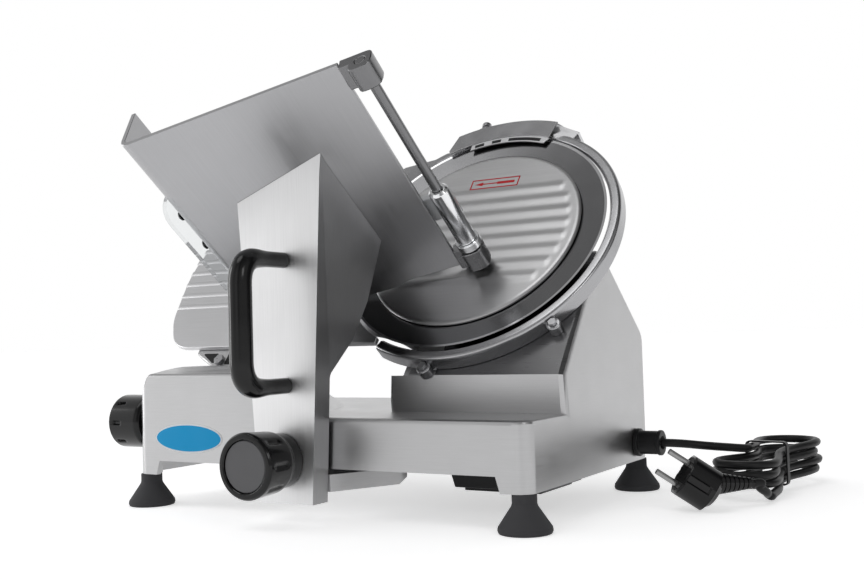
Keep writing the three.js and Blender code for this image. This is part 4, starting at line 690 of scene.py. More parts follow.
def close_slit(bm: bmesh.types.BMesh, inside: Callable[[Vector], bool]) -> None:
    """Draws a slit's corners together, each on to the lowest one at its own depth.

    Args:
        bm: The mesh, in metres.
        inside: Which points, in millimetres from the front right corner, are the slit's corners.
    """
    corners = [vert for vert in bm.verts if inside(CORNER.inverted() @ vert.co / MM)]
    corners.sort(key=lambda vert: vert.co.z)
    onto = {vert: next(low for low in corners if abs(low.co.y - vert.co.y) < MM) for vert in corners}
    bmesh.ops.weld_verts(bm, targetmap={vert: low for vert, low in onto.items() if vert is not low})


def skin(
    node: str,
    name: str,
    fit: Fit,
    edge: float = 0.6,
    second_faces: Callable[[bmesh.types.BMFace], bool] | None = None,
    reshape: Callable[[Vector], Vector] | None = None,
    closed: Callable[[Vector], bool] | None = None,
) -> bpy.types.Object:
    """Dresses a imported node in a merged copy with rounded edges.

    Args:
        node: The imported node.
        name: The piece's name.
        fit: What it belongs to.
        edge: Radius of its rounded edges.
        second_faces: Which faces take the second finish.
        reshape: A rule that moves its points, in millimetres from the front right corner.
        closed: Which points, in millimetres from the front right corner, are corners of a slit to close.

    Returns:
        The piece.
    """
    bm = bmesh.new()
    bm.from_mesh(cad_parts[node].data)
    bmesh.ops.remove_doubles(bm, verts=bm.verts, dist=5e-6)
    bmesh.ops.dissolve_limit(bm, angle_limit=math.radians(0.6), verts=bm.verts, edges=bm.edges)
    if closed:
        close_slit(bm, closed)
    for face in bm.faces:
        face.material_index = int(bool(second_faces and second_faces(face)))
    if reshape:
        for vert in bm.verts:
            vert.co = CORNER @ (reshape(CORNER.inverted() @ vert.co / MM) * MM)
    mesh = bpy.data.meshes.new(name)
    bm.to_mesh(mesh)
    bm.free()
    piece = placed(name, mesh, Fit(fit.body, fit.finish, (node,), fit.second))
    if edge > 0:
        soft = piece.modifiers.new("soft_edges", "BEVEL")
        soft.limit_method = "ANGLE"
        soft.angle_limit = math.radians(38)
        soft.width = edge * MM
        soft.segments = 2
        soft.use_clamp_overlap = True
    shaded(piece)
    return piece


def tube(
    name: str, path: Sequence[Vector], radius: float, fit: Fit, widths: Iterable[float] = ()
) -> bpy.types.Object:
    """A round bar along a path.

    Args:
        name: The piece's name.
        path: Its middle line, in metres.
        radius: Its radius, in metres.
        fit: What it belongs to.
        widths: Its width at each point, as a share of the radius.

    Returns:
        The bar, a curve of one open line.
    """
    curve = bpy.data.curves.new(name, "CURVE")
    curve.dimensions = "3D"
    curve.bevel_depth = radius
    curve.bevel_resolution = 6
    curve.use_fill_caps = True
    line = curve.splines.new("POLY")
    line.points.add(len(path) - 1)
    for i, point in enumerate(path):
        line.points[i].co = (*point, 1)
    for i, width in enumerate(widths):
        line.points[i].radius = width
    line.use_smooth = True
    return placed(name, curve, fit)


# Studio


@dataclass
class Studio:
    """The camera, the pale floor and the soft light.

    Attributes:
        eye: The camera's place, in metres.
        right: The camera's rightward direction.
        up: Its upward direction.
        back: Its backward direction.
        lens: Its lens, in millimetres, on a 36 mm sensor.
        floor_size: The floor's half width, in metres.
        floor_glow: How bright the floor's own light is.
        overhead_heights: Between which heights of the sky it darkens.
        overhead_level: Its level at the top.
        cards: The light round the object, as (degrees round from the back, level).
        aim: The point that the lamps are turned to, in metres.
    """

    eye: Point = (0.5501, -0.7858, 0.1452)
    right: Point = (0.8573, 0.5140, -0.0294)
    up: Point = (0.0477, -0.0223, 0.9986)
    back: Point = (0.5126, -0.8576, -0.0436)
    lens: float = 44.34
    floor_size: float = 40.0
    floor_glow: float = 0.55
    overhead_heights: Pair = (0.35, 0.97)
    overhead_level: float = 0.3
    aim: Point = (0, 0, 0.15)
    cards: tuple[Pair, ...] = (
        (-180, 0.85),
        (-166, 0.55),
        (-150, 0.62),
        (-138, 1.0),
        (30, 1.0),
        (36, 0.6),
        (42, 0.1),
        (60, 0.1),
        (82, 0.5),
        (138, 0.5),
        (158, 0.22),
        (172, 0.85),
        (180, 0.85),
    )

    def camera(self) -> None:
        """Sets the camera at the photograph's place."""
        data = bpy.data.cameras.new("camera")
        data.lens = self.lens
        data.sensor_width = 36.0
        data.clip_start, data.clip_end = 0.01, 200.0
        camera = bpy.data.objects.new("camera", data)
        axes = Matrix((self.right, self.up, self.back)).transposed()
        camera.matrix_world = Matrix.Translation(self.eye) @ axes.to_4x4()
        bpy.context.scene.collection.objects.link(camera)
        bpy.context.scene.camera = camera

    def floor(self) -> None:
        """Lays the pale floor, which keeps the object's shadow."""
        bm = bmesh.new()
        bmesh.ops.create_grid(bm, x_segments=1, y_segments=1, size=self.floor_size)
        mesh = bpy.data.meshes.new("floor")
        bm.to_mesh(mesh)
        bm.free()
        floor = bpy.data.objects.new("floor", mesh)
        floor.location = (0, 0, -0.0002)
        bpy.context.scene.collection.objects.link(floor)
        graph = Graph("pale_floor")
        path = graph.add("LightPath").outputs
        seen = graph.math("MAXIMUM", path["Is Camera Ray"], path["Is Glossy Ray"])
        shown = graph.math("MAXIMUM", seen, path["Is Transmission Ray"])
        matt = graph.add("BsdfDiffuse", {"Color": (0.84, 0.84, 0.845, 1)})
        light = graph.add("Emission", {"Strength": graph.math("MULTIPLY", shown, self.floor_glow)})
        both = graph.add("AddShader", {0: matt.outputs[0], 1: light.outputs[0]})
        mesh.materials.append(graph.close(both))

    def sky(self) -> None:
        """A world that is white to the camera, and that metal sees with darker cards in it."""
        graph = WorldGraph("studio")
        split = graph.add("SeparateXYZ", {0: graph.add("TexCoord").outputs["Generated"]})
        low, high = self.overhead_heights
        overhead = graph.add(
            "MapRange",
            {
                "Value": split.outputs["Z"],
                "From Min": low,
                "From Max": high,
                "To Min": 1.0,
                "To Max": self.overhead_level,
            },
            interpolation_type="SMOOTHSTEP",
        )
        round_about = graph.math("ARCTAN2", split.outputs["X"], split.outputs["Y"])
        share = graph.add("MapRange", {"Value": round_about, "From Min": -math.pi, "From Max": math.pi})
        cards = graph.add("ValToRGB", {0: share.outputs[0]})
        cards.color_ramp.interpolation = "EASE"
        stops = cards.color_ramp.elements
        while len(stops) < len(self.cards):
            stops.new(0.5)
        for stop, (turn, level) in zip(stops, self.cards):
            stop.position = (turn + 180) / 360
            stop.color = (level, level, level, 1)
        carded = graph.math("MULTIPLY", overhead.outputs[0], cards.outputs[0])
        strength = graph.math("MAXIMUM", carded, graph.add("LightPath").outputs["Is Camera Ray"])
        background = graph.add("Background", {"Color": (1, 1, 1, 1), "Strength": strength})
        graph.add("OutputWorld", {0: background.outputs[0]})

    def lamps(self) -> None:
        """Two soft boxes in front, the larger one to the left, and a faint soft sun."""
        for name, power, size, place in (
            ("key", 3.6, (0.3, 0.9), (-1.35, -0.5, 0.4)),
            ("fill", 1.6, (0.4, 0.4), (1.2, -0.7, 0.75)),
        ):
            data = bpy.data.lights.new(name, "AREA")
            data.shape = "RECTANGLE"
            data.size, data.size_y = size
            data.energy = power
            lamp = bpy.data.objects.new(name, data)
            lamp.location = place
            lamp.rotation_euler = (Vector(self.aim) - Vector(place)).to_track_quat("-Z", "Y").to_euler()
            bpy.context.scene.collection.objects.link(lamp)
        data = bpy.data.lights.new("overhead", "SUN")
        data.energy = 0.4
        data.angle = math.radians(30)
        lamp = bpy.data.objects.new("overhead", data)
        lamp.rotation_euler = (math.radians(20), math.radians(-12), 0)
        bpy.context.scene.collection.objects.link(lamp)


# Mains cord


@dataclass
class MainsCord:
    """The cord from its gland, wound in a tied hank on the floor, to its plug.

    Attributes:
        diameter: The cord's diameter.
        length: Its real length, in metres; not used.
    """

    diameter: float = 7.3
    length: float = 1.491
    gap: float = 0.3
    gland_across: float = 222
    gland_height: float = 45
    gland_length: float = 24
    gland_flange: float = 12.4
    gland_body: float = 10.4
    gland_lip: float = 11.2
    gland_flats: float = 9.9
    gland_sides: int = 12
    hank_middle: Pair = (101, 278)
    hank_turn: float = 7
    run: float = 104
    fold: float = 26.5
    narrow: float = 23.5
    waist: float = 13.5
    layers: float = 4
    pitch: float = 7.9
    end_share: float = 0.36
    sway: float = 5.0
    sway_rate: float = 3.3
    tie_width: float = 6
    tie_sheet: float = 1.4
    loop_steps: int = 48
    lead_in: tuple[Point, ...] = ((42, 224, 44.5), (58, 232, 42.5), (72, 247, 40))
    lead_out: tuple[Point, ...] = ((118, 207, 6.4), (119, 196, 10), (116, 187.5, 15.5))
    plug_middle: Point = (78, 148, 21)
    plug_radius: float = 18.5
    plug_length: float = 30
    relief_length: float = 30
    pin_way: Point = (-0.71, -0.43, 0.56)
    pin_row: Point = (-0.5, -0.26, -0.83)
    relief_way: Point = (0.7, 0.7, -0.05)
    pin_radius: float = 2.4
    pin_length: float = 19
    pin_spacing: float = 19

    @property
    def top(self) -> float:
        """Height of the hank's highest turn."""
        return self.diameter / 2 + self.tie_sheet + self.gap * 3 + self.layers * self.pitch

    def on_hank(self, along: float, across: float, height: float) -> Vector:
        """A point of the hank, by its place along and across it."""
        turn = math.radians(self.hank_turn)
        way = Vector((math.sin(-turn), math.cos(turn)))
        side = Vector((way.y, -way.x))
        return Vector(
            (
                self.hank_middle[0] - way.x * along + side.x * across,
                self.hank_middle[1] + way.y * along - side.y * across,
                height,
            )
        )

    def hank_point(self, turns: float) -> Vector:
        """A point of the hank's middle line.

        Args:
            turns: How many loops along it.

        Returns:
            The point.
        """
        layer = math.floor(turns)
        part = turns - layer
        half = self.fold + (self.narrow - self.fold) * (part if layer % 2 == 0 else 1 - part)
        fold, middle = math.pi * half, self.run / 2
        way = part * (2 * self.run + 2 * fold)
        drop = 1.0

        def drawn(along: float) -> float:
            """Half width of the hank, drawn in by its tie."""
            return half - (half - self.waist * half / self.fold) * math.cos(along / self.run * math.pi) ** 2

        if way <= middle:
            place, drop = (way, -drawn(way)), 0.0
        elif way <= middle + fold:
            turn = (way - middle) / fold * math.pi
            place, drop = (middle + half * math.sin(turn), -half * math.cos(turn)), 0.0
        elif way <= middle + fold + self.run:
            way -= middle + fold
            place, drop = (middle - way, drawn(middle - way)), way / self.run
        elif way <= middle + 2 * fold + self.run:
            turn = (way - middle - fold - self.run) / fold * math.pi
            place = (-middle - half * math.sin(turn), half * math.cos(turn))
        else:
            way -= middle + 2 * fold + self.run
            place = (-middle + way, -drawn(-middle + way))
        whole = self.layers - self.end_share
        sway = self.sway * math.sin(math.pi * min(turns / whole, 1.0)) * math.sin(self.sway_rate * turns)
        return self.on_hank(place[0] + sway, place[1], self.top - (layer + drop) * self.pitch)

    @staticmethod
    def eased(points: Sequence[Vector], steps: int = 8) -> list[Vector]:
        """A smooth line through points, with even steps between each two.

        Args:
            points: The points.
            steps: Pieces between two of them.

        Returns:
            The line.
        """
        ends = [points[0] * 2 - points[1], *points, points[-1] * 2 - points[-2]]
        line = []
        for before, start, end, after in zip(ends, ends[1:], ends[2:], ends[3:]):
            one = (start - before).length ** 0.5
            two = (end - start).length ** 0.5
            three = (after - end).length ** 0.5
            way_in = ((start - before) / one - (end - before) / (one + two) + (end - start) / two) * two
            way_out = ((end - start) / two - (after - start) / (two + three) + (after - end) / three) * two
            for k in range(steps):
                t = k / steps
                bent = start * (2 * t**3 - 3 * t**2 + 1) + end * (3 * t**2 - 2 * t**3)
                line.append(bent + way_in * (t**3 - 2 * t**2 + t) + way_out * (t**3 - t**2))
        line.append(points[-1])
        return line

    def route(self) -> list[Vector]:
        """The cord's middle line, from the gland to the plug, in millimetres."""
        count = round((self.layers - self.end_share) * self.loop_steps)
        hank = [self.hank_point(i * (self.layers - self.end_share) / count) for i in range(count + 1)]
        start = Vector((self.gland_length + self.gap, self.gland_across, self.gland_height))
        way_in = (hank[1] - hank[0]).normalized()
        way_out = (hank[-1] - hank[-2]).normalized()
        hank = [hank[0] - way_in * self.diameter, *hank, hank[-1] + way_out * self.diameter]
        relief = Vector(self.relief_way).normalized()
        end = Vector(self.plug_middle) + relief * (self.plug_radius + self.relief_length + self.gap)
        first = [start, start + Vector((self.diameter, 0, 0)), *map(Vector, self.lead_in)]
        first += [hank[0] - way_in * (self.diameter + self.gap), hank[0]]
        last = [hank[-1], hank[-1] + way_out * (self.diameter + self.gap)]
        last += [*map(Vector, self.lead_out), end + relief * self.diameter, end]
        return self.eased(first)[:-1] + hank + self.eased(last)[1:]

    def build(self) -> None:
        """Makes the cord, its gland, tie and plug."""
        path = [CORNER @ (point * MM) for point in self.route()]
        fit = Fit(Body.MACHINE, CABLE, ("power_cord", "cord_hank", "plug_lead"))
        cable = tube("mains_cord", path, self.diameter / 2 * MM, fit)
        LOG.info("mains cord is %.3f m", sum((b - a).length for a, b in zip(path, path[1:])))
        extras = [self.plug(), self.tie(), *self.pins()]
        tuple(path[0])
        self.gland()

    def gland(self) -> None:
        """The cord gland, with its flange, flats and bore lip."""
        d, far = self.diameter / 2, self.gland_length
        flange, body, lip = self.gland_flange, self.gland_body, self.gland_lip
        profile = [(0, self.gap), (flange, self.gap, 1), (flange, 4, 1), (body, 4.6, 0.6)]
        profile += [(body, far - 3.5, 0.8), (lip, far - 3, 0.5), (lip, far, 1)]
        profile += [(d + 2.6, far, 0.8), (d + 1.2, far - 2.5), (0, far - 2.5)]
        nut = lathe(rounded(profile, 3), Axis.X, 48)
        flats = shifted(nut, lambda co: self.flattened(co, self.gland_sides, self.gland_flats, 5.2, far - 4))
        place = CORNER @ Matrix.Translation(millimetres(0, self.gland_across, self.gland_height))
        settle("cord_gland_nut", flats, place, Fit(Body.MACHINE, SATIN_BLACK, ("cord_gland",)))

    @staticmethod
    def flattened(co: Vector, sides: int, radius: float, low: float, high: float) -> Vector:
        """Flattens part of a nut turned about X.

        Args:
            co: A point of it.
            sides: How many flat sides it gets.
            radius: Their distance from the axis.
            low: Where they start along the axis.
            high: Where they end.

        Returns:
            The moved point.
        """
        far = math.hypot(co.y, co.z)
        if not low < co.x < high or far < radius * 0.95:
            return co
        turn = math.atan2(co.z, co.y)
        step = 2 * math.pi / sides
        off = (turn + step / 2) % step - step / 2
        scale = min(1.0, radius / (far * math.cos(off)))
        return Vector((co.x, co.y * scale, co.z * scale))

    def tie(self) -> bpy.types.Object:
        """The twisted tie round the hank's waist."""
        half = self.waist + self.diameter / 2 + self.gap * 2
        low = self.top - (self.layers - 0.5) * self.pitch - self.diameter / 2 - self.gap * 2
        high = self.top + self.diameter / 2 + self.gap * 2
        radius = self.diameter / 2
        corners = [(-half, low, radius), (half, low, radius), (half, high, radius), (-half, high, radius)]
        inner = rounded(corners, 5, closed=True)
        bm = bmesh.new()
        verts = [bm.verts.new((x, -self.tie_width / 2, z)) for x, z in inner]
        edges = [bm.edges.new((verts[i], verts[(i + 1) % len(verts)])) for i in range(len(verts))]
        out = bmesh.ops.extrude_edge_only(bm, edges=edges)["geom"]
        new = [v for v in out if isinstance(v, bmesh.types.BMVert)]
        bmesh.ops.translate(bm, vec=(0, self.tie_width, 0), verts=new)
        bmesh.ops.recalc_face_normals(bm, faces=bm.faces)
        bmesh.ops.solidify(bm, geom=list(bm.faces), thickness=-self.tie_sheet)
        bmesh.ops.recalc_face_normals(bm, faces=bm.faces)
        ease(bm, 0.35, 2, 60)
        place = CORNER @ Matrix.Translation(millimetres(*self.hank_middle, 0))
        place = place @ Matrix.Rotation(math.radians(-self.hank_turn), 4, "Z")
        return settle("hank_tie", bm, place, Fit(Body.MACHINE, SATIN_BLACK, ("cord_tie",)))

    def along(self, way: Point, row: Point = (0, 0, 1)) -> Matrix:
        """A frame at the plug's middle whose Y axis runs along a direction.

        Args:
            way: The direction.
            row: A direction that the frame's Z axis comes nearest to.

        Returns:
            The frame.
        """
        y = Vector(way).normalized()
        x = y.cross(Vector(row)).normalized()
        turn = Matrix((x, y, x.cross(y))).transposed().to_4x4()
        return CORNER @ Matrix.Translation(millimetres(*self.plug_middle)) @ turn

    def plug(self) -> bpy.types.Object:
        """The moulded plug, with its earth grooves, grip and tapered relief."""
        r, half = self.plug_radius, self.plug_length / 2
        front = [(0, half), (r * 0.86, half, 1), (r * 0.9, half - 0.8), (r, half - 1.2, 0.6)]
        side = [(r, half - 2 - i * 1.6) for i in range(14)]
        back = [(r, -half * 0.66, 1.2), (r * 0.84, -half * 0.72, 1.5), (r * 0.62, -half, 3), (0, -half)]
        body = shifted(lathe(rounded(front, 4) + side + rounded(back, 4), Axis.Y, 96), self.gripped)
        moved(body, self.along(self.pin_way, self.pin_row) @ Matrix.Scale(MM, 4))
        rings = [(0, 2), (11, 2), (11, 12)]
        for i in range(8):
            y = r * 0.66 + i * self.relief_length * 0.145
            out = 9.6 - i * 0.66
            rings += [(out, y), (out - 0.2, y + 2.6), (out - 1.3, y + 3.0), (out - 1.4, y + 4.0)]
        end = r + self.relief_length
        rings += [(self.diameter * 0.64, end), (0, end)]
        relief = shifted(lathe(rings, Axis.Y, 40), lambda co: Vector((co.x * 0.8, co.y, co.z)))
        moved(relief, self.along(self.relief_way, self.pin_row) @ Matrix.Scale(MM, 4))
        fit = Fit(Body.MACHINE, GLOSS_BLACK, ("plug_body",))
        return finished("mains_plug", joined(body, relief), fit, 32)

    def gripped(self, co: Vector) -> Vector:
        """Flattens the plug across its pins and presses its two earth grooves."""
        flat = self.plug_radius * 0.94
        groove = 1.5 if abs(co.z) < 2.6 and abs(co.x) > self.plug_radius * 0.8 and co.y > -5 else 0.0
        return Vector((co.x - math.copysign(groove, co.x), co.y, max(-flat, min(flat, co.z))))

    def pins(self) -> list[bpy.types.Object]:
        """The plug's two pins."""
        made = []
        r, start, end = self.pin_radius, self.plug_length / 2 + self.gap, self.pin_length
        tip = start + end
        profile = rounded([(0, start), (r, start), (r, tip - 0.2, 1.6), (r * 0.5, tip, 0.4), (0, tip)], 4)
        for name, side in (("plug_pin_left", -0.5), ("plug_pin_right", 0.5)):
            off = Matrix.Translation(millimetres(0, 0, side * self.pin_spacing))
            place = self.along(self.pin_way, self.pin_row) @ off
            fit = Fit(Body.MACHINE, NICKEL, (name,))
            made.append(settle(name + "_bar", lathe(profile, Axis.Y, 28), place, fit))
        return made


def dress(body: Body, finish: Finish, edge: float, *nodes: str) -> None:
    """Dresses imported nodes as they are, each in a merged copy with rounded edges.

    Args:
        body: The body that they move with.
        finish: Their finish.
        edge: Radius of their rounded edges.
        *nodes: The nodes.
    """
    for node in nodes:
        skin(node, node + "_dressed", Fit(body, finish), edge)


# Base


@dataclass
class Base:
    """The cast base with its feet, covers, switches and badge.

    Attributes:
        feet: Each foot's node and its place.
        foot_radius: Radius on the floor.
        foot_neck: Radius of its neck.
        foot_top: Height of its top.
        ramp: Between which places across the left block's front wall ends.
        ramp_shift: How far to the right that end is carried.
        table_height: Height of the base's table, above which it is carried.
        table_skin: How far below the table the wall's lowest points may lie.
        pocket_front: What lies behind this isn't carried.
        slope_low: Faces above this height may be the housing's sloping ones, which are painted in shade.
        slope_turn: How far forward those face, as a share.
        slope_aside: How far aside they may face.
        badge_middle: The badge's place on the front.
        badge_half: Half its width and height.
        badge_sheet: Its thickness.
        badge_border: Width of its white border.
    """

    feet: tuple[tuple[str, float, float], ...] = (
        ("foot_front_left", -386, 9),
        ("foot_front_right", -9, 9),
        ("foot_rear_left", -386, 243),
        ("foot_rear_right", -9, 243),
    )
    foot_radius: float = 20.6
    foot_neck: float = 9.4
    foot_top: float = 28.3
    ramp: Pair = (-336, -232)
    ramp_shift: float = 58
    table_height: float = 78
    table_skin: float = 0.3
    slope_low: float = 118
    slope_turn: float = 0.3
    slope_aside: float = 0.5
    pocket_front: float = 52
    badge_middle: Pair = (-331.3, 61.9)
    badge_half: Pair = (39.3, 12.9)
    badge_sheet: float = 0.35
    badge_border: float = 1.5

    def build(self) -> None:
        """Makes the base and everything fixed to it below the blade."""
        # The housing's sloping faces under the blade take the darker copy of the casting finish, as painted
        # shade.
        fit = Fit(Body.MACHINE, CASTING, second=SHADED_SLOPE)
        skin("base_casting", "base_shell", fit, 1.0, self.in_blade_shade, self.front_moved)
        dress(Body.MACHINE, SATIN_BLACK, 0.8, "electrical_cover", "switch_plate")
        dress(Body.MACHINE, CHROME, 0.3, "slide_rod")
        dress(Body.MACHINE, STEEL, 0.3, "guide_bar", "motor")
        dress(Body.MACHINE, RUBBER, 0.3, "drive_belt")
        dress(Body.MOTOR_ROTOR, STEEL, 0.3, "motor_pulley")
        dress(Body.OFF_SWITCH, RED, 0.5, "off_button")
        dress(Body.ON_SWITCH, GREEN, 0.5, "on_button")
        for foot in self.feet:
            self.foot(*foot)
        self.badge()
        LOG.info("base is dressed")

    def in_blade_shade(self, face: bmesh.types.BMFace) -> bool:
        """Whether a face is one of the housing's sloping ones, under the blade, which take the painted shade.
        """
        high = face.calc_center_median().z / MM > self.slope_low
        return high and face.normal.y < -self.slope_turn and abs(face.normal.x) < self.slope_aside

    def front_moved(self, point: Vector) -> Vector:
        """Carries the left block's front wall on to where the carriage's arm hides its end."""
        low, high = self.ramp
        above = point.z > self.table_height - self.table_skin
        if low < point.x < high and above and point.y < self.pocket_front:
            return point + Vector((self.ramp_shift, 0, 0))
        return point

    def foot(self, node: str, x: float, y: float) -> None:
        """A rubber foot: a neck, a cone and a rim that stands on the floor.

        Args:
            node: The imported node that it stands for.
            x: Its place across, from the front right corner.
            y: Its place back from the front.
        """
        r, neck, top = self.foot_radius, self.foot_neck, self.foot_top
        profile = [(0, 0), (r - 0.8, 0, 0.8), (r, 2.2, 1), (r - 0.4, 4.6, 1.6), (neck + 0.8, top - 9, 3)]
        profile += [(neck, top - 7, 2), (neck, top, 0.3), (0, top)]
        place = CORNER @ Matrix.Translation(millimetres(x, y, 0))
        fit = Fit(Body.MACHINE, RUBBER, (node,))
        settle(node + "_rubber", lathe(rounded(profile, 5), Axis.Z, 64), place, fit, 50)

    def badge(self) -> None:
        """The plain blue oval badge with its white border."""
        for name, shrink, sheet, finish in (
            ("badge_edge", 0.0, self.badge_sheet, WHITE),
            ("badge_face", self.badge_border, self.badge_sheet * 1.6, BLUE),
        ):
            half_x, half_z = self.badge_half[0] - shrink, self.badge_half[1] - shrink
            outline = [
                (half_x * math.cos(i * math.pi / 48), half_z * math.sin(i * math.pi / 48)) for i in range(96)
            ]
            place = CORNER @ Matrix.Translation(millimetres(self.badge_middle[0], 0, self.badge_middle[1]))
            settle(name, plate(outline, -sheet, 0.05, Axis.Y, 0.12), place, Fit(Body.MACHINE, finish))


# Blade, its guard and its sharpener


@dataclass
class BladeUnit:
    """The blade, its cover, ring, hub, sharpener and deflector, along the blade's axis.

    Attributes:
        radius: The blade's radius.
        cover_radius: The cover's radius.
        rib_fade: Length over which a rib's end fades out.
        rings: Rings of faces over the ribbed cover.
        spokes: Faces round it.
        hood_bent: Points of the hood before this place on the axis are set back.
        hood_flat: Where its front lies in the solid.
        hood_set: Where the front is set, left and right of its first turn.
        hood_share: What is left of the front's relief.
        hood_crown: Points of the hood outside this radius are lowered.
        hood_drop: How far they are lowered.
        stone_bent: Points of the honing stone before this place on the axis are set back.
        stone_flat: Where its disc lies in the solid.
        stone_set: Where the disc is set.
        stone_share: What is left of its thickness.
    """

    radius: float = 125
    edge_start: float = 122.6
    cover_radius: float = 101.5
    ribs: int = 8
    rib_pitch: float = 15
    rib_half: float = 7.4
    rib_rise: float = 0.6
    rib_reach: float = 93.5
    rib_fade: float = 5
    rings: int = 84
    spokes: int = 300
    arrow_middle: Pair = (3.0, 65.0)
    arrow_half: Pair = (25.0, 6.2)
    arrow_line: float = 1.15
    arrow_sheet: float = 0.15
    ring_inner: float = 126.4
    ring_outer: float = 136.5
    ring_faces: Pair = (1.5, 16.5)
    ring_turns: Pair = (-115.5, 125)
    wing: tuple[Pair, ...] = ((-134, 88), (-111, 105))
    wing_end: float = 150
    lug_turns: Pair = (-44.5, -93)
    lug_circle: float = 140.5
    lug_radius: float = 6.2
    lug_front: float = 7.5
    screw_circle: float = 147.5
    screw_share: float = 0.62
    hood_turns: Point = (69.5, 112.5, 118)
    hood_radii: Pair = (145, 124)
    hood_faces: Pair = (-4.3, -3.1)
    lip_turns: Pair = (68, 107)
    lip_low: float = 117
    slots: tuple[Pair, ...] = ((71.5, 88.5), (92.5, 97), (101, 105.5))
    hood_post: float = 102
    hood_bent: float = -5
    hood_flat: float = -7.5
    hood_set: Pair = (-1.6, 3.5)
    hood_share: float = 0.2
    hood_crown: float = 142.9
    hood_drop: float = 2.5
    stone_bent: float = -1
    stone_flat: float = -2
    stone_set: float = -1.6
    stone_share: float = 0.26

    def build(self) -> None:
        """Makes the blade and everything on its axis."""
        self.blade()
        self.cover()
        self.arrow()
        self.ring()
        for node in ("ring_screw_right", "ring_screw_left"):
            skin(node, node + "_dressed", Fit(Body.MACHINE, STEEL), 0.4, reshape=self.nearer)
        dress(Body.MACHINE, STEEL, 0.4, "blade_bearing")
        self.hood_front()
        dress(Body.BLADE_SET, STEEL, 0.4, "blade_hub", "blade_pulley")
        dress(Body.COVER_LOCK, SATIN_BLACK, 0.8, "cover_knob")
        dress(Body.MACHINE, HOUSING, 0.8, "sharpener_body")
        skin("sharpener_hood", "sharpener_hood_dressed", Fit(Body.MACHINE, PLATE), 0.8, reshape=self.lower)
        dress(Body.MACHINE, SATIN_BLACK, 0.5, "hood_screw")
        dress(Body.MACHINE, PLATE, 0.3, "slice_deflector")
        dress(Body.GRINDER, STONE, 0.4, "grinding_stone")
        skin("honing_stone", "honing_stone_dressed", Fit(Body.HONER, STONE), 0.2, reshape=self.thinner)
        LOG.info("blade unit is dressed")

    def blade(self) -> None:
        """The hollow-ground blade, with a bright honed edge."""
        r, start = self.radius, self.edge_start
        front = [(15, 6), (98, 6), (101.9, 2.9), (105, 2.4), (start, 0.4)]
        profile = front + [(r, 0.0), (119.5, 4.2), (98, 10), (15, 10)]
        bm = lathe(profile, Axis.Y, 288, closed=True)
        for face in bm.faces:
            middle = face.calc_center_median()
            face.material_index = int(math.hypot(middle.x, middle.z) > start)
        settle("blade_disc", bm, BLADE, Fit(Body.BLADE_SET, BLADE_LAND, ("blade",), BLADE_EDGE), 12)

    def cover(self) -> None:
        """The blade cover, with soft straight ridges across its face."""
        face = [(i * (self.cover_radius - 3.5) / self.rings, -0.5) for i in range(self.rings)]
        rim = [(self.cover_radius - 3, -0.5), (self.cover_radius - 1.2, -0.2), (self.cover_radius, 0.7)]
        back = [(self.cover_radius, 2), (90.5, 4.5), (12, 4.5), (12, 9.5), (0, 9.5)]
        bm = shifted(lathe(face + rim + back, Axis.Y, self.spokes), self.ribbed)
        settle("blade_cover_plate", bm, BLADE, Fit(Body.MACHINE, COVER, ("blade_cover",)), 30)

    def ribbed(self, co: Vector) -> Vector:
        """Raises the cover's ridges at a point of its face."""
        if co.y > -0.49:
            return co
        rise = 0.0
        for i in range(self.ribs):
            middle = (i - (self.ribs - 1) / 2) * self.rib_pitch
            off = abs(co.z - middle)
            reach = math.sqrt(max(self.rib_reach**2 - middle**2, 0.0))
            end = min(max((reach - abs(co.x)) / self.rib_fade, 0.0), 1.0)
            if off < self.rib_half:
                rise = max(rise, math.cos(off / self.rib_half * math.pi / 2) ** 2 * end * end * (3 - 2 * end))
        return Vector((co.x, co.y - rise * self.rib_rise, co.z))

    def arrow(self) -> None:
        """A plain arrow in a thin frame that shows which way the blade turns."""
        half_x, half_z = self.arrow_half
        line = self.arrow_line
        place = BLADE @ Matrix.Translation(millimetres(self.arrow_middle[0], -0.5, self.arrow_middle[1]))
        bars = [
            (-half_x, -half_z, half_x, -half_z + line),
            (-half_x, half_z - line, half_x, half_z),
            (-half_x, -half_z, -half_x + line, half_z),
            (half_x - line, -half_z, half_x, half_z),
            (-half_x * 0.5, -line / 2, half_x * 0.1, line / 2),
            (half_x * 0.1, -line * 1.3, half_x * 0.82, line * 1.3),
        ]
        outlines = [[(x0, z0), (x1, z0), (x1, z1), (x0, z1)] for x0, z0, x1, z1 in bars]
        outlines.append([(-half_x * 0.85, 0), (-half_x * 0.5, -line * 1.9), (-half_x * 0.5, line * 1.9)])
        mark = [plate(outline, -self.arrow_sheet, 0.05, Axis.Y) for outline in outlines]
        settle("arrow_mark", joined(*mark), place, Fit(Body.MACHINE, MARK_RED))

    @staticmethod
    def on_blade(point: Vector, move: Callable[[Vector, float, float], Vector]) -> Vector:
        """Moves a point by a rule in the blade's frame.

        Args:
            point: The point, in millimetres from the front right corner.
            move: The rule, which gets the local point, its radius and its turn in degrees.

        Returns:
            The moved point.
        """
        local = BLADE.inverted() @ (CORNER @ (point * MM)) / MM
        local = move(local, math.hypot(local.x, local.z), math.degrees(math.atan2(local.z, local.x)))
        return CORNER.inverted() @ (BLADE @ (local * MM)) / MM

    def nearer(self, point: Vector) -> Vector:
        """Draws a lug's screw in towards the ring, and makes it smaller."""

        def move(local: Vector, radius: float, turn: float) -> Vector:
            """The rule in the blade's frame."""
            lug = math.radians(min(self.lug_turns, key=lambda lug_turn: abs(lug_turn - turn)))
            way = Vector((math.cos(lug), 0, math.sin(lug)))
            off = (Vector((local.x, 0, local.z)) - way * self.screw_circle) * self.screw_share
            return way * self.lug_circle + off + Vector((0, local.y, 0))

        return self.on_blade(point, move)

    def lower(self, point: Vector) -> Vector:
        """Sets the sharpener hood closer to the blade, with its right end set back."""

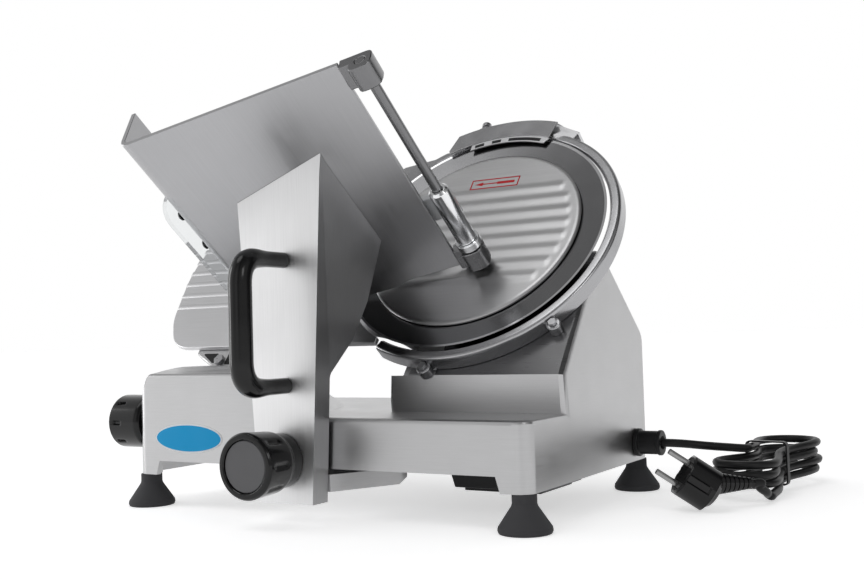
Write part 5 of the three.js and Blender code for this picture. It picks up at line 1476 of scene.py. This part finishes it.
        def move(local: Vector, radius: float, turn: float) -> Vector:
            """The rule in the blade's frame."""
            left, right = self.hood_set
            if local.y < self.hood_bent:
                relief = (local.y - self.hood_flat) * self.hood_share
                local.y = (right if turn < self.hood_turns[0] else left) + relief
            share = (radius - self.hood_drop) / radius if radius > self.hood_crown else 1.0
            return Vector((local.x * share, local.y, local.z * share))

        return self.on_blade(point, move)

    def thinner(self, point: Vector) -> Vector:
        """Thins the honing stone's disc, which runs under the hood's front wall."""

        def move(local: Vector, radius: float, turn: float) -> Vector:
            """The rule in the blade's frame."""
            if local.y < self.stone_bent:
                local.y = self.stone_set + (local.y - self.stone_flat) * self.stone_share
            return local

        return self.on_blade(point, move)

    @staticmethod
    def arc(radius: float, start: float, end: float, steps: int) -> list[Pair]:
        """Points of an arc round the blade's axis, between two turns in degrees."""
        turns = [math.radians(start + (end - start) * i / steps) for i in range(steps + 1)]
        return [(radius * math.cos(turn), radius * math.sin(turn)) for turn in turns]

    def ring(self) -> None:
        """The ring guard: a rounded ring, open at the left, with its wing and two lugs."""
        inner, outer, (front, back) = self.ring_inner, self.ring_outer, self.ring_faces
        start, end = self.ring_turns
        section = rounded(
            [(inner, back), (inner, front + 2.4, 0.8), (inner + 2.2, front, 1.4)]
            + [(outer, front, 3.4), (outer, back, 0.6)],
            5,
            closed=True,
        )
        turn = math.radians(start)
        bm = bmesh.new()
        verts = [bm.verts.new((radius * math.cos(turn), y, radius * math.sin(turn))) for radius, y in section]
        edges = [bm.edges.new((verts[i], verts[(i + 1) % len(verts)])) for i in range(len(verts))]
        bmesh.ops.spin(
            bm,
            geom=verts + edges,
            cent=(0, 0, 0),
            axis=(0, 1, 0),
            angle=-math.radians(end - start),
            steps=150,
            use_merge=False,
        )
        bmesh.ops.holes_fill(bm, edges=[e for e in bm.edges if e.is_boundary], sides=0)
        bmesh.ops.recalc_face_normals(bm, faces=bm.faces)
        wing = self.arc(inner, self.wing_end, end - 6, 12) + self.arc(outer - 0.6, end - 6, end, 3)
        wing += list(reversed(self.wing))
        parts = [bm, plate(wing, front + 0.2, front + 4, Axis.Y, 0.8)]
        near, wide = self.lug_front, self.lug_radius
        for lug in self.lug_turns:
            way = Vector((math.cos(math.radians(lug)), 0, math.sin(math.radians(lug))))
            profile = rounded([(0, near), (wide, near, 1.2), (wide, back), (0, back)], 4)
            parts.append(moved(lathe(profile, Axis.Y, 40), Matrix.Translation(way * self.lug_circle)))
        settle("ring_guard_casting", joined(*parts), BLADE, Fit(Body.MACHINE, HOUSING, ("ring_guard",)), 40)

    def hood_front(self) -> None:
        """The sharpener hood's front wall, its lip with dark sheets behind it painted as the shade in its
        slots, and its post.
        """
        start, end, tip = self.hood_turns
        high, low = self.hood_radii
        front, back = self.hood_faces
        outline = self.arc(high, start, end, 40) + self.arc(low + 5, tip, tip, 1)[:1]
        outline += self.arc(low, tip, start - 1.5, 44)
        wall = plate(outline, front, back, Axis.Y, 0.5)
        settle("hood_front_wall", wall, BLADE, Fit(Body.MACHINE, HOUSING))
        first, last = self.lip_turns
        lip = self.arc(low + 1, first, last, 36) + self.arc(self.lip_low, last + 1, first + 1, 36)
        settle("hood_lip", plate(lip, back - 0.6, back + 0.9, Axis.Y, 0.4), BLADE, Fit(Body.MACHINE, PLATE))
        # Painted shade: thin dark sheets behind the lip stand for the shade inside its slots.
        for i, (one, two) in enumerate(self.slots):
            slot = self.arc(low - 2, one, two, 16) + self.arc(self.lip_low + 1.2, two, one, 16)
            slot_shade = plate(slot, back - 0.75, back - 0.5, Axis.Y)
            settle(f"hood_slot_shade_{i + 1}", slot_shade, BLADE, Fit(Body.MACHINE, SATIN_BLACK))
        turn = Matrix.Rotation(math.radians(90 - self.hood_post), 4, "Y")
        stem = [(0, high - 3), (3.2, high - 3), (3.2, high + 6.5)]
        head = [(4.8, high + 6.8, 0.4), (4.8, high + 11, 0.9), (0, high + 11)]
        post = lathe(rounded(stem + head, 4), Axis.Z, 36)
        place = BLADE @ turn @ Matrix.Translation(millimetres(0, 2, 0))
        settle("hood_post", post, place, Fit(Body.MACHINE, STEEL))


# Gauge and its knob


@dataclass
class Gauge:
    """The gauge plate with its support, and the thickness knob.

    Attributes:
        ridge_inset: How far in from the plate's left edge the ridges start.
        ridge_bow: How much further in they start away from the middle one.
        ridge_bow_half: The height over which they do.
        ridge_bow_low: How far below the axis the middle one is.
        radius: The knob's radius.
        flutes: How many grooves it has.
        flute_fade: Length over which a groove's end fades out.
        flute_wall: Width of its sloping wall.
    """

    plate_left: float = 329
    plate_top: float = 95
    plate_low: float = 119
    plate_clear: float = 127.6
    plate_right: float = 60
    plate_upper: float = 152
    plate_sheet: float = 5
    wing_tip: Pair = (138, 88)
    ridges: int = 9
    ridge_pitch: float = 15
    ridge_start: float = 67
    ridge_half: float = 3.0
    ridge_rise: float = 0.7
    ridge_inset: float = 1.3
    ridge_bow: float = 7.4
    ridge_bow_half: float = 55
    ridge_bow_low: float = 12
    recess: Pair = (-136, -123)
    recess_face: float = 5.3
    radius: float = 24.5
    length: float = 36
    start: float = -395.3
    across: float = 25
    height: float = 74
    spindle: float = 5
    spindle_end: float = 46.3
    flutes: int = 8
    flute_half: float = 2.2
    flute_depth: float = 2.4
    flute_ends: Pair = (3.5, 14.5)
    flute_fade: float = 1.6
    flute_wall: float = 0.9

    def build(self) -> None:
        """Makes the gauge, its bolts and the knob."""
        self.plate()
        dress(Body.GAUGE, CASTING, 1.0, "gauge_support")
        dress(Body.GAUGE, STEEL, 0.4, "gauge_bolt_left", "gauge_bolt_right")
        self.knob()
        LOG.info("gauge is dressed")

    def plate(self) -> None:
        """The gauge plate: a soft outline, hollowed round the blade, under straight ridges."""
        left, top, low, clear = self.plate_left, self.plate_top, self.plate_low, self.plate_clear
        outline = rounded(
            [
                (-left * 0.905, top, 5),
                (-left * 0.979, top * 0.47, 90),
                (-left * 0.997, -low * 0.24, 110),
                (-left * 0.968, -low * 0.71, 60),
                (-left * 0.906, -low, 36),
                (-self.plate_right, -low),
            ],
            8,
        )
        first = 1.5 * math.pi - math.asin(self.plate_right / clear)
        last = math.radians(self.plate_upper)
        turns = [first + (last - first) * i / 56 for i in range(57)]
        outline += [(clear * math.cos(turn), clear * math.sin(turn)) for turn in turns]
        outline += [(-self.wing_tip[0], self.wing_tip[1]), (-self.wing_tip[0], top)]
        parts = [plate(outline, 0, self.plate_sheet, Axis.Y, 0.9)]
        for i in range(self.ridges):
            z = i * self.ridge_pitch - self.ridge_start
            reach = math.sqrt(max((clear + 3) ** 2 - z * z, 0.0))
            right = -max(reach, self.wing_tip[0] + 4 if z > 40 else 0.0)
            bow = ((z + self.ridge_bow_low) / self.ridge_bow_half) ** 2 * self.ridge_bow
            edge = self.ridge_inset - left + bow
            parts.append(self.ridge(edge, right - 3, z))
        settle("gauge_plate_casting", joined(*parts), BLADE, Fit(Body.GAUGE, PLATE, ("gauge_plate",)), 40)
        self.recess_shade()

    def ridge(self, left: float, right: float, z: float) -> bmesh.types.BMesh:
        """One soft ridge of the plate, between two places across it."""
        half, rise = self.ridge_half, self.ridge_rise
        steps = 8
        section = [
            (z - half + 2 * half * i / steps, -rise * math.cos((i / steps - 0.5) * math.pi) - 0.02)
            for i in range(steps + 1)
        ]
        bm = bmesh.new()
        rows = []
        for x, share in ((left, 0.3), (left + 2, 1.0), (right - 2, 1.0), (right, 0.0)):
            rows.append([bm.verts.new((x, y * share if y < 0 else y, zz)) for zz, y in section])
        for one, two in zip(rows, rows[1:]):
            for a, b, c, d in zip(one, one[1:], two[1:], two):
                bm.faces.new((a, b, c, d))
        bm.faces.new(rows[0])
        bmesh.ops.recalc_face_normals(bm, faces=bm.faces)
        return bm

    def recess_shade(self) -> None:
        """Painted shade: thin dark sheets on the recesses each side of the bracket's left bolt, where shadow
        falls.
        """
        low, high = self.recess
        face = self.recess_face
        left = [(-260, high, 1.5), (-243, low + 2, 1.5), (-240, low + 2, 1), (-240, high, 1)]
        right = [(-227, low, 1), (-213, low, 2), (-216, high, 1.5), (-227, high, 1)]
        for name, corners in (("bracket_recess_shade_left", left), ("bracket_recess_shade_right", right)):
            shape = plate(rounded(corners, 4, closed=True), face - 0.2, face + 0.1, Axis.Y)
            settle(name, shape, BLADE, Fit(Body.GAUGE, SATIN_BLACK))

    def knob(self) -> None:
        """The thickness knob, a glossy barrel with blind slots, on its spindle."""
        r, far = self.radius, -self.length
        face = [(0, far + 1.4), (r - 8, far + 1.4, 1.5), (r - 6.5, far, 1.2), (r, far, 4)]
        side = [(r, far + 3 + (i + 1) * (self.length - 8) / 40) for i in range(40)]
        back = [(r - 0.2, -2.5), (r - 2.5, 0), (self.spindle + 2, 0, 0.5), (self.spindle, 0.5)]
        back += [(self.spindle, self.spindle_end), (0, self.spindle_end)]
        profile = rounded(face, 6) + side + rounded(back, 4)
        bm = shifted(lathe(profile, Axis.X, 288), self.fluted)
        place = CORNER @ Matrix.Translation(millimetres(self.start, self.across, self.height))
        settle("thickness_knob_moulding", bm, place, Fit(Body.DIAL, GLOSS_BLACK, ("thickness_knob",)), 40)

    def fluted(self, co: Vector) -> Vector:
        """Presses the knob's blind grooves at a point of its side."""
        far = math.hypot(co.y, co.z)
        if far < self.radius * 0.7 or co.x > 0:
            return co
        step = 2 * math.pi / self.flutes
        turn = math.atan2(co.z, co.y)
        off = abs((turn + step / 2) % step - step / 2) * self.radius
        along = co.x + self.length
        low, high = self.flute_ends
        if off >= self.flute_half or not low < along < high:
            return co
        end = min((along - low) / self.flute_fade, (high - along) / self.flute_fade, 1.0)
        depth = self.flute_depth * min((self.flute_half - off) / self.flute_wall, 1.0) * end
        scale = (far - depth) / far
        return Vector((co.x, co.y * scale, co.z * scale))


# Carriage


@dataclass
class Carriage:
    """The sliding carriage: arm, handle, lock knob, tray, rod, pusher and guard.

    Attributes:
        fold: Heights between which the arm's lower right fold lies.
        fold_right: The fold's points lie to the right of this.
        fold_front: They lie behind this.
        fold_rise: How far the fold is raised.
        slit_low: Lower end of the box round the slit in the arm's front plate.
        slit_high: Upper end of that box.
        side_turn: The arm's faces that look aside by more than this share are painted darker, as shade.
        back_turn: So are those that look back by more than this share.
        corner_high: The tray's points beyond this place are its top corner.
        corner_across: Between which places across that corner lies.
        corner_edge: Where the corner is carried to.
        handle_across: Where the handle is, from the front right corner.
        dent_half: Half the width of a dent in the lock knob.
        dent_ends: Between which places along the knob it lies.
        dent_fade: Length over which its end fades out.
        dent_depth: Its depth.
        tooth_rows: Rows of the pusher's teeth.
        tooth_columns: Teeth to a row.
        tooth_pitch: From one tooth to the next.
        tooth_radii: A tooth's radius at its foot and at its tip.
        tooth_height: Its height.
    """

    fold: Pair = (100, 107)
    fold_right: float = -200
    fold_front: float = -4
    fold_rise: float = 12
    slit_low: Point = (-178.6, -22.8, 106.5)
    slit_high: Point = (-174.4, -17.6, 180)
    side_turn: float = 0.7
    back_turn: float = 0.3
    corner_high: float = -225
    corner_across: Pair = (-30, -9)
    corner_edge: float = -7.8
    handle_across: float = -202
    handle_low: float = 109.2
    handle_high: float = 210
    handle_reach: float = -76
    handle_start: float = -23.3
    handle_corner: float = 21
    grip_radius: float = 9.2
    leg_radius: float = 6.4
    lock_across: float = -209
    lock_height: float = 49.5
    lock_start: float = -23.3
    lock_length: float = 45
    lock_neck: float = 22
    lock_radius: float = 26.2
    lock_disc: float = 21
    dent_half: float = 4
    dent_ends: Pair = (5, 26)
    dent_fade: float = 5
    dent_depth: float = 1.6
    rod_radius: float = 4.2
    sleeve_radius: float = 8.65
    sleeve_ends: Pair = (-96, -36.4)
    pusher_box: tuple[float, float, float, float] = (-192, -46, -33.9, 42.1)
    pusher_faces: Pair = (-59, -52)
    tooth_rows: int = 4
    tooth_columns: int = 8
    tooth_pitch: float = 16
    tooth_radii: Pair = (3.4, 0.4)
    tooth_height: float = 6
    rod_place: Pair = (10.5, -43)
    rod_ends: Pair = (-230.7, -3.6)

    def build(self) -> None:
        """Makes the carriage and what rides on it."""
        # The arm's faces that look aside or back take the darker copy of its finish, as painted shade.
        arm = Fit(Body.CARRIAGE, PANEL, second=SHADED_SIDE)
        skin("carriage_arm", "arm_shell", arm, 0.9, self.in_side_shade, self.fold_raised, self.in_slit)
        dress(Body.CARRIAGE, CASTING, 0.8, "carriage_foot")
        dress(Body.CARRIAGE, STEEL, 0.4, "carriage_runner")
        tray = Fit(Body.CARRIAGE, TRAY_SHEET)
        skin("food_tray", "food_tray_dressed", tray, 0.9, reshape=self.corner_filled)
        dress(Body.CARRIAGE, ROD, 0.9, "rod_clamp_high", "rod_clamp_low")
        dress(Body.CARRIAGE, SATIN_BLACK, 0.6, "guard_screw_high", "guard_screw_low")
        dress(Body.CARRIAGE, ACRYLIC, 0.4, "hand_guard")
        dress(Body.PUSHER_SLIDER, CHROME, 0.5, "pusher_collar")
        self.pusher()
        dress(Body.PUSHER_ARM, GLOSS_BLACK, 0.5, "pusher_grip")
        self.handle()
        self.lock_knob()
        self.rod()
        LOG.info("carriage is dressed")

    def in_side_shade(self, face: bmesh.types.BMFace) -> bool:
        """Whether a face of the arm looks sideways or back, and so takes the painted shade."""
        return abs(face.normal.x) > self.side_turn or face.normal.y > self.back_turn

    def in_slit(self, point: Vector) -> bool:
        """Whether a point is a corner of the slit beside the arm's right edge."""
        return all(low < value < high for low, value, high in zip(self.slit_low, point, self.slit_high))

    def fold_raised(self, point: Vector) -> Vector:
        """Raises the arm's lower right fold, which passes over the base's left block."""
        low, high = self.fold
        if point.x > self.fold_right and low < point.z < high and point.y > self.fold_front:
            return point + Vector((0, 0, self.fold_rise))
        return point

    def corner_filled(self, point: Vector) -> Vector:
        """Carries the tray's top edge on to the upper clamp."""
        local = TRAY.inverted() @ (CORNER @ (point * MM)) / MM
        left, right = self.corner_across
        if local.y < self.corner_high and left < local.x < right:
            local.x = self.corner_edge
            return CORNER.inverted() @ (TRAY @ (local * MM)) / MM
        return point

    def pusher(self) -> None:
        """The pusher: its toothed plate, low strap and sleeve round the rod."""
        left, right, low, high = self.pusher_box
        back, front = self.pusher_faces
        corners = [(left, low, 6), (right, low, 6), (right, high, 26), (left, high, 26)]
        shape = rounded(corners, 8, closed=True)
        parts = [plate(shape, back, front, Axis.Y, 0.8)]
        foot, tip = self.tooth_radii
        tall = self.tooth_height
        upright = Matrix.Rotation(math.radians(-90), 4, "X")
        for row in range(self.tooth_rows):
            for column in range(self.tooth_columns):
                aside, up = column - (self.tooth_columns - 1) / 2, row - (self.tooth_rows - 1) / 2
                if abs(up) > 1 and abs(aside) > 3:
                    continue
                x = (left + right) / 2 + aside * self.tooth_pitch
                z = (low + high) / 2 + up * self.tooth_pitch
                tooth = bmesh.new()
                bmesh.ops.create_cone(tooth, cap_ends=True, segments=4, radius1=foot, radius2=tip, depth=tall)
                parts.append(moved(tooth, Matrix.Translation((x, front + tall / 2 - 0.2, z)) @ upright))
        rod_x, rod_z = self.rod_place
        upper = [(rod_x - 3, rod_z + 6), (rod_x + 5, rod_z + 6), (rod_x + 5, low + 8, 5)]
        lower = [(right - 26, low + 8), (right - 26, low + 1), (rod_x - 3, low + 1, 2)]
        strap = rounded(upper + lower, 5, closed=True)
        parts.append(plate(strap, back - 22, back + 3, Axis.Y, 0.8))
        settle("pusher_moulding", joined(*parts), TRAY, Fit(Body.PUSHER_ARM, GREY_PLASTIC, ("pusher",)))
        outer, inner = self.sleeve_radius, self.rod_radius + 0.35
        start, end = self.sleeve_ends
        lip = [(inner, start, 0.6), (outer - 2, start, 0.4), (outer - 1.2, start + 0.8, 0.3)]
        side = [(outer, start + 2, 0.8), (outer, end, 0.5), (inner, end, 0.3)]
        rings = rounded(lip + side, 4, closed=True)
        place = TRAY @ Matrix.Translation(millimetres(rod_x, 0, rod_z))
        settle("pusher_sleeve", lathe(rings, Axis.Y, 64, closed=True), place, Fit(Body.PUSHER_ARM, CHROME))

    def handle(self) -> None:
        """The glossy D handle, thick along its grip and thinner in its legs."""
        x, y0, y1 = self.handle_across, self.handle_start, self.handle_reach
        low, high, corner = self.handle_low, self.handle_high, self.handle_corner
        middle = (y1, (low + high) / 2)
        line = rounded([(y0, low), (y1, low, corner), middle, (y1, high, corner), (y0, high)], 16)
        dense: list[Pair] = []
        for (ya, za), (yb, zb) in zip(line, line[1:]):
            count = max(1, round(math.dist((ya, za), (yb, zb)) / 3))
            dense += [(ya + (yb - ya) * k / count, za + (zb - za) * k / count) for k in range(count)]
        dense.append(line[-1])
        path = [CORNER @ millimetres(x, y, z) for y, z in dense]
        thin = self.leg_radius / self.grip_radius
        widths = []
        for y, z in dense:
            t = min(max((y0 - y) / (y0 - y1), 0.0), 1.0)
            t = min(max((t - 0.35) / 0.6, 0.0), 1.0)
            widths.append(thin + (1 - thin) * t * t * (3 - 2 * t))
        fit = Fit(Body.CARRIAGE, GLOSS_BLACK, ("d_handle",))
        tube("d_handle_bar", path, self.grip_radius * MM, fit, widths)

    def lock_knob(self) -> None:
        """The front lock knob: a glossy tapered body round a recessed matt disc."""
        r, disc, long = self.lock_radius, self.lock_disc, -self.lock_length
        neck, steps = self.lock_neck, 26
        run = self.lock_length * 0.64 - 4
        inside = [(disc - 0.3, long + 2.2), (disc - 0.3, long + 0.9, 0.4), (disc + 0.6, long, 0.8)]
        face = rounded(inside + [(r - 1.4, long + 0.2, 1.4), (r, long + 2.4, 1.2), (r, long + 4)], 4)
        side = [(r - 1.6 * i / steps, long + 4 + i * run / steps) for i in range(1, steps + 1)]
        taper = [(r - 1.8, long * 0.34, 2), (neck, long * 0.22, 2), (neck, 0, 0.4), (0, 0)]
        bm = shifted(lathe(face + side + rounded(taper, 5), Axis.Y, 216), self.dented)
        place = CORNER @ Matrix.Translation(millimetres(self.lock_across, self.lock_start, self.lock_height))
        settle("lock_knob_moulding", bm, place, Fit(Body.ARM_LOCK, GLOSS_BLACK, ("lock_knob",)), 45)
        rim = [(0, long + 1.3), (disc - 1.4, long + 1.3, 0.4), (disc - 0.7, long + 2.0, 0.4)]
        matt = lathe(rounded(rim + [(disc - 0.7, long + 4), (0, long + 4)], 3), Axis.Y, 72)
        settle("lock_knob_disc", matt, place, Fit(Body.ARM_LOCK, DISC_GREY))

    def dented(self, co: Vector) -> Vector:
        """Presses long shallow dents into the knob's side."""
        far = math.hypot(co.x, co.z)
        step = math.pi / 4
        turn = math.atan2(co.z, co.x)
        off = abs((turn + step / 2) % step - step / 2) * self.lock_radius
        along = co.y + self.lock_length
        low, high = self.dent_ends
        if far < self.lock_neck or off >= self.dent_half or not low < along < high:
            return co
        end = min(along - low, high - along, self.dent_fade) / self.dent_fade
        hollow = math.cos(off / self.dent_half * math.pi / 2) ** 2
        depth = self.dent_depth * hollow * end * end * (3 - 2 * end)
        scale = (far - depth) / far
        return Vector((co.x * scale, co.y, co.z * scale))

    def rod(self) -> None:
        """The pusher's polished rod."""
        r, (high, low) = self.rod_radius, self.rod_ends
        profile = rounded([(0, high), (r, high, 0.5), (r, low, 0.5), (0, low)], 3)
        place = TRAY @ Matrix.Translation(millimetres(self.rod_place[0], 0, self.rod_place[1]))
        settle("pusher_rod_bar", lathe(profile, Axis.Y, 48), place, Fit(Body.CARRIAGE, ROD, ("pusher_rod",)))


def main() -> None:
    """Builds the studio, the cord and the slicer, and notes their sizes."""
    logging.basicConfig(level=logging.INFO, format="%(name)s: %(message)s")
    scene = bpy.context.scene
    scene.render.resolution_x, scene.render.resolution_y = 864, 580
    scene.view_settings.view_transform = "Standard"
    studio = Studio()
    studio.camera()
    MainsCord().build()
    Base().build()
    BladeUnit().build()
    Gauge().build()
    Carriage().build()
    studio.floor()
    studio.sky()
    studio.lamps()


if __name__ == "__main__":
    main()
